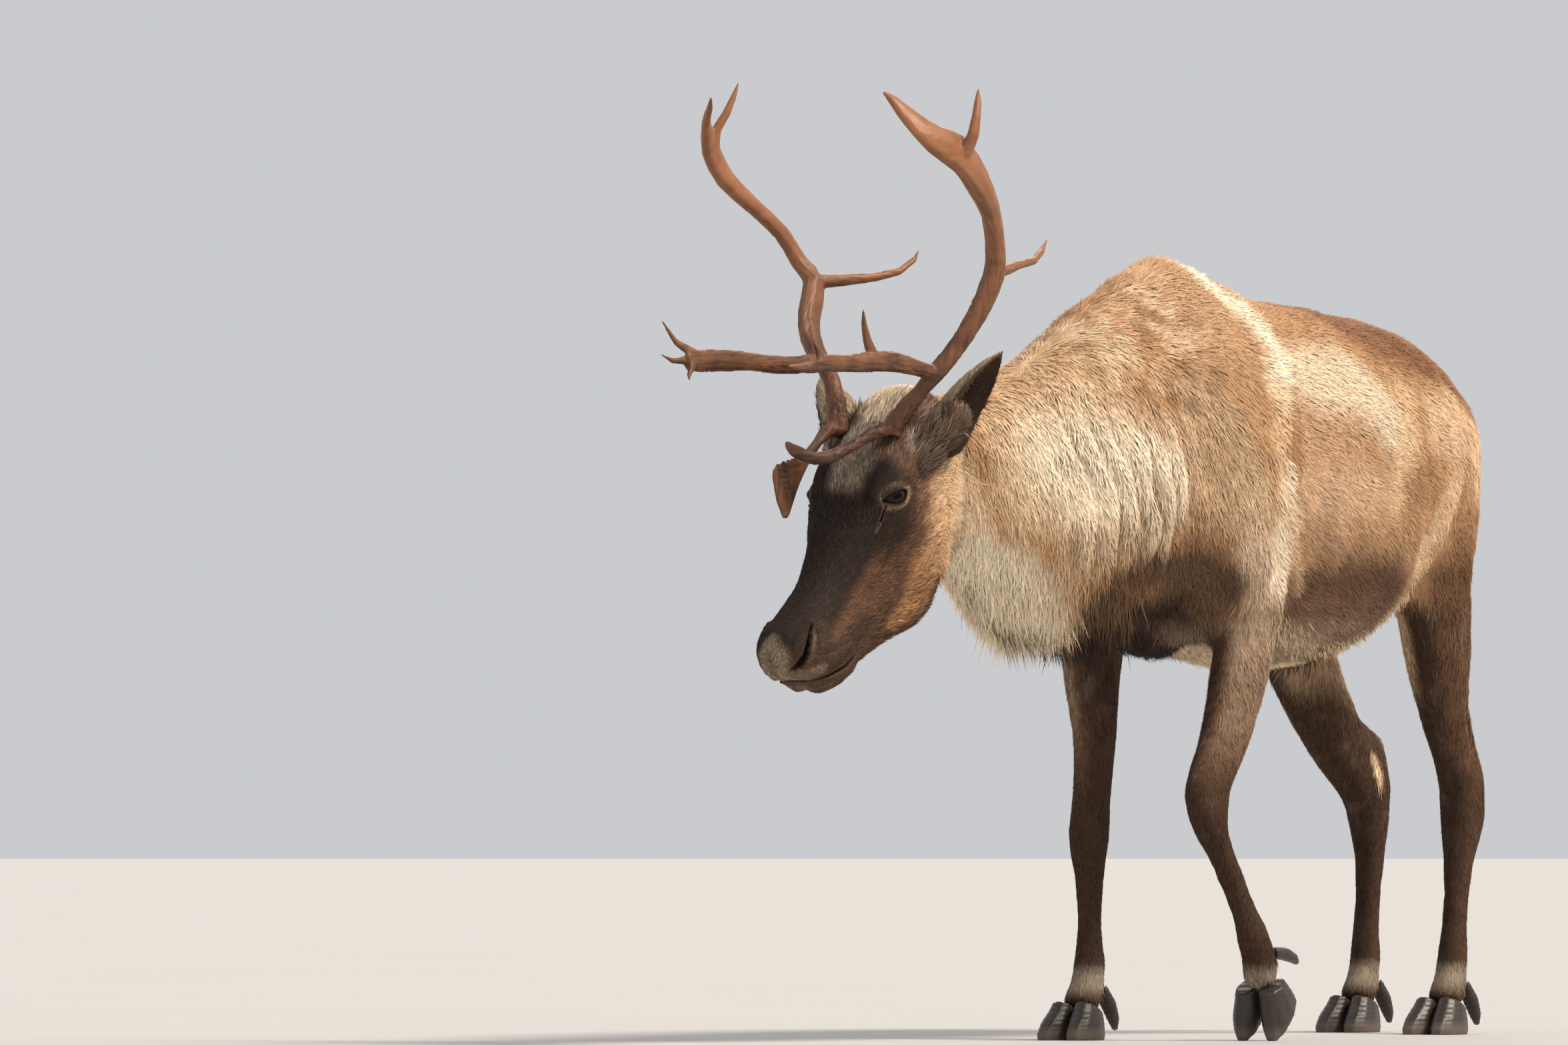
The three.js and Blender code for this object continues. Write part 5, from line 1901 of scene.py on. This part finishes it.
FRINGES = (
    Fringe("throat", ((-505, 60, 735, 40), (-470, 60, 670, 62), (-420, 55, 640, 72), (-360, 45, 625, 78),
                      (-300, 35, 620, 74), (-235, 20, 630, 60)),
           6800, (46, 92), (0.16, 0, -1), 0.17, 2.8, full_height=600),
    Fringe("brisket", ((-190, 20, 600, 60), (-100, 20, 580, 60), (0, 10, 560, 60), (90, 0, 550, 50)),
           900, (18, 32), (0.5, 0, -1), 0.2, 3.2),
    Fringe("hump", ((-120, 20, 1085, 40), (-60, 20, 1105, 44), (0, 20, 1110, 46), (50, 20, 1095, 40)),
           300, (18, 30), (0.8, 0, 0.1), 0.45, 3.6),
    Fringe("shoulder_edge", ((96, -104, 1036, 22), (108, -148, 962, 24), (62, -160, 905, 22),
                             (44, -176, 844, 22), (48, -183, 776, 20)),
           480, (22, 34), (0.75, 0, -0.7), 0.24, 3.4),
    Fringe("jaw_rear", ((-34, -104, 88, 22), (4, -140, 84, 26), (44, -180, 72, 26), (84, -200, 56, 24)),
           1300, (18, 34), (-0.25, -1.05, -0.2), 0.16, 2.8, on_head=True),
    Fringe("ear_root", ((26, -58, 82, 16), (4, -40, 84, 18), (-20, -32, 82, 18), (-40, -28, 66, 14)),
           420, (18, 30), (-0.84, 0.2, 0.42), 0.45, 3.0, (126, 108, 92), on_head=True),
    Fringe("belly_edge", ((150, -120, 600, 26), (260, -120, 570, 26), (380, -110, 558, 26),
                          (440, -130, 600, 26), (500, -150, 660, 22)),
           1100, (20, 36), (0.5, 0, -1), 0.22, 3.2, (222, 196, 160)),
    Fringe("sheath", ((470, 0, 572, 26), (500, 0, 575, 24)),
           110, (46, 80), (-0.1, 0, -1), 0.2, 5.0, (176, 148, 116)),
    Fringe("tail", ((915, 0, 900, 34), (930, 0, 850, 30), (925, 0, 800, 30)),
           420, (34, 62), (0.2, 0, -1), 0.3, 5.0, (236, 220, 194)),
    Fringe("hock_tuft", ((862, -58, 410, 16), (866, -58, 365, 12)), 90, (12, 20), (0.3, 0, -1), 0.2, 2.6),
)


@dataclass
class Coat(Assembly):
    """The fur: short tufts over the whole skin and longer locks where the animal has them."""

    hide: Hide
    seed: int = 3
    slots: dict = field(default_factory=lambda: {"leg": "leg_coat", "face": "face_coat", "ear": "face_coat"})

    def build(self) -> None:
        """Makes every part of the coat."""
        self.material = HairFinish().material()
        self.find_ground()
        hide = self.hide
        x = hide.points[:, 0]
        head = hide.head * (hide.ear == 0)
        trunk = (1 - hide.head) * (1 - hide.legs) * (hide.ear == 0)
        front, rear = ramp(10, -60, x), ramp(330, 350, x)
        near_eye = ramp(90, 30, gap_to(EYE_PLACE, hide.on_head))
        muzzle = ramp(240, 330, hide.on_head[:, 0])
        parts = [
            ("face_hair", head * (1 + 1.4 * muzzle + 1.2 * near_eye), 48000, Brush(width=2.2, vary=0.5)),
            ("ear_hair", (hide.ear > 0.02) * 1.0, 12000, Brush(width=2.0, root_shade=0.6, vary=0.35)),
            ("neck_hair", trunk * front, 48000, Brush(width=3.1)),
            ("neck_tufts", trunk * front, 19500, Brush(rings=2, width=3.6, bend=0.9, clump=0.4, stray=0.2)),
            ("side_hair", trunk * (1 - front) * (1 - rear), 48000, Brush(width=3.4)),
            ("rump_hair", trunk * rear, 48000, Brush(width=3.4)),
            ("body_tufts", trunk * (1 - front), 15500, Brush(rings=2, width=3.8, bend=0.9, clump=0.4)),
            ("leg_hair", hide.legs * (hide.points[:, 2] > 48), 48000, Brush(width=2.3, vary=0.42)),
        ]
        for number, (name, weight, count, brush) in enumerate(parts):
            roots = self.sow(weight * hide.furred, count, self.seed + number)
            self.grow(name, roots, brush, self.seed + number)
        for number, fringe in enumerate(FRINGES):
            self.hang(fringe, self.seed + 50 + number)

    def find_ground(self) -> None:
        """Lists the skin's triangles, their sizes and their places on its unwrap."""
        mesh = self.hide.shape.mesh
        mesh.calc_loop_triangles()
        self.corners = read(mesh.loop_triangles, "vertices", 3, np.int32)
        loops = read(mesh.loop_triangles, "loops", 3, np.int32)
        self.patches = read(mesh.uv_layers["OFBake"].data, "uv", 2)[loops]
        a, b, c = (self.hide.points[self.corners[:, i]] for i in range(3))
        self.areas = np.linalg.norm(np.cross(b - a, c - a), axis=1) / 2

    def sow(self, weight: np.ndarray, count: int, seed: int) -> Roots:
        """Scatters roots evenly over the skin.

        Args:
            weight: how densely they stand at each vertex of the skin.
            count: how many there are.
            seed: the seed of their places.

        Returns:
            The roots.
        """
        rng = np.random.default_rng(seed)
        total = np.cumsum(self.areas * weight[self.corners].mean(axis=1))
        chosen = np.searchsorted(total, (np.arange(count) + rng.random(count)) / count * total[-1])
        chosen = np.minimum(chosen, len(total) - 1)
        u, v = rng.random((2, count))
        over = u + v > 1
        u[over], v[over] = 1 - u[over], 1 - v[over]
        shares = np.stack([1 - u - v, u, v], axis=1)
        corners = self.corners[chosen]
        hide = self.hide

        def drawn(values: np.ndarray) -> np.ndarray:
            """The values at the roots."""
            picked = values[corners]
            return (picked * (shares[:, :, None] if picked.ndim == 3 else shares)).sum(axis=1)

        normals = unit(drawn(hide.normals))
        lie = unit(flattened(drawn(hide.lie), normals))
        patch = (self.patches[chosen] * shares[:, :, None]).sum(axis=1)
        tone, length, lift = drawn(hide.tone), drawn(hide.length), drawn(hide.lift)
        return Roots(drawn(hide.points), normals, lie, tone, length, lift, patch)

    def grow(self, name: str, roots: Roots, brush: Brush, seed: int, way: np.ndarray | None = None) -> None:
        """Makes one piece of many tufts.

        Args:
            name: its name.
            roots: where the tufts stand.
            brush: how they are shaped.
            seed: the seed of what differs between them.
            way: the direction that they bend to, or none where they bend back to the skin.
        """
        rng = np.random.default_rng(seed + 1000)
        places, side, length = brush.comb(roots, rng, Cloud(seed), way)
        count, per, _ = places.shape
        faces = brush.faces()
        every = (faces[None] + per * np.arange(count)[:, None, None]).reshape(-1, 3)
        mesh = self.mesh_of(name, places.reshape(-1, 3), every)
        k = brush.rings
        across = np.append(np.tile([0.0, 0.5, 1.0], k), 0.5)
        along = np.append(np.repeat(np.arange(k) / k, 3), 1.0)
        spot = np.stack([across - 0.5, along - 0.5], axis=1) * PATCH_SIZE
        patch = np.clip(roots.patch[:, None, :] + spot[None], PATCH_MARGIN, 1 - PATCH_MARGIN)
        unwrap = patch[:, faces.ravel()].astype(np.float32)
        mesh.uv_layers.new(name="OFBake").data.foreach_set("uv", unwrap.ravel())
        # Darker towards the root as painted shade deep in the coat, paler towards the tip partly as the hair's
        # own pale tips.
        shade = brush.root_shade + (brush.tip_shade - brush.root_shade) * along**0.8
        vary = np.exp(brush.vary * np.clip(rng.normal(size=count), -2.2, 2.2))
        tones = roots.tone[:, None, :] * (shade[None, :] * vary[:, None])[:, :, None]
        write_attribute(mesh, "coat", tones.reshape(-1, 3))
        strand = np.zeros(places.shape)
        strand[:, :, 0] = across * brush.width
        strand[:, :, 1] = along * length[:, None] * 0.06
        strand += rng.uniform(0, 60, (count, 1, 3))
        layer = mesh.attributes.new("strand", "FLOAT_VECTOR", "POINT")
        layer.data.foreach_set("vector", strand.astype(np.float32).ravel())
        own = np.stack([side, roots.normals, -side], axis=1)
        facing = np.concatenate([np.tile(own, (1, k, 1)), roots.normals[:, None, :]], axis=1)
        facing = unit(roots.normals[:, None, :] * (1 - brush.round_share) + facing * brush.round_share)
        mesh.normals_split_custom_set_from_vertices(facing.reshape(-1, 3))
        dress(linked(name, mesh), self.material, self.slots.get(name.split("_")[0], "body_coat"))

    def mesh_of(self, name: str, places: np.ndarray, faces: np.ndarray) -> bpy.types.Mesh:
        """A smooth mesh of many tufts, from arrays in millimetres from the withers.

        Args:
            name: its name.
            places: its vertices.
            faces: its triangles' corners.

        Returns:
            The mesh.
        """
        mesh = bpy.data.meshes.new(name)
        mesh.vertices.add(len(places))
        mesh.vertices.foreach_set("co", self.stance.metres(places).astype(np.float32).ravel())
        mesh.loops.add(faces.size)
        mesh.loops.foreach_set("vertex_index", faces.astype(np.int32).ravel())
        mesh.polygons.add(len(faces))
        mesh.polygons.foreach_set("loop_start", np.arange(0, faces.size, 3, dtype=np.int32))
        mesh.polygons.foreach_set("use_smooth", np.ones(len(faces), bool))
        mesh.update(calc_edges=True)
        return mesh

    def hang(self, fringe: Fringe, seed: int) -> None:
        """Makes the longer locks along a line.

        Args:
            fringe: where they hang and how.
            seed: the seed of their places and lengths.
        """
        hide = self.hide
        line = np.array(fringe.line, float)
        weight = np.zeros(len(hide.points))
        ground = hide.on_head if fringe.on_head else hide.points
        for side in SIDES.values():
            share = line_share(ground, on_side(line, side, fringe.on_head), line[:, 3])
            weight = np.maximum(weight, ramp(1.15, 0.55, share))
        place = hide.head > 0.5 if fringe.on_head else hide.head < 0.05
        roots = self.sow(weight * hide.furred * (hide.ear == 0) * place, fringe.count, seed)
        rng = np.random.default_rng(seed)
        roots.length = rng.uniform(*fringe.length, fringe.count)
        if fringe.full_height is not None:
            full = fringe.full_height
            roots.length *= 0.35 + 0.65 * ramp(full + 100, full, roots.points[:, 2])
        way = np.tile(np.array(fringe.way, float), (fringe.count, 1))
        if fringe.on_head:
            way[:, 2] *= np.sign(self.stance.on_head(roots.points)[:, 2])
            way = way @ self.stance.head_axes
        way += 0.14 * rng.normal(size=way.shape)
        roots.lie = unit(flattened(way, roots.normals) + roots.lie * 0.2)
        roots.lift = np.full(fringe.count, fringe.lift)
        if fringe.tone:
            roots.tone = roots.tone * 0.2 + linear(fringe.tone) * 0.8
        brush = Brush(rings=fringe.rings, width=fringe.width, bend=0.8, wave=3.0, stray=0.12, clump=0.35,
                      flatness=0.5, root_shade=0.84, tip_shade=1.3)
        self.grow(f"locks_{fringe.name}", roots, brush, seed, way)


def main() -> None:
    """Builds the animal piece by piece, and the studio around it."""
    logging.basicConfig(level=logging.INFO, format="%(message)s", stream=sys.stdout)
    stance = Stance.of_frame()
    bench = Bench(stance)
    Camera().build(stance)
    Studio().build()
    eyes = Eyes(bench)
    hide = Hide(bench, eyes)
    for part in (eyes, Feet(bench), Antlers(bench), hide, Coat(bench, hide)):
        part.build()


if __name__ == "__main__":
    main()
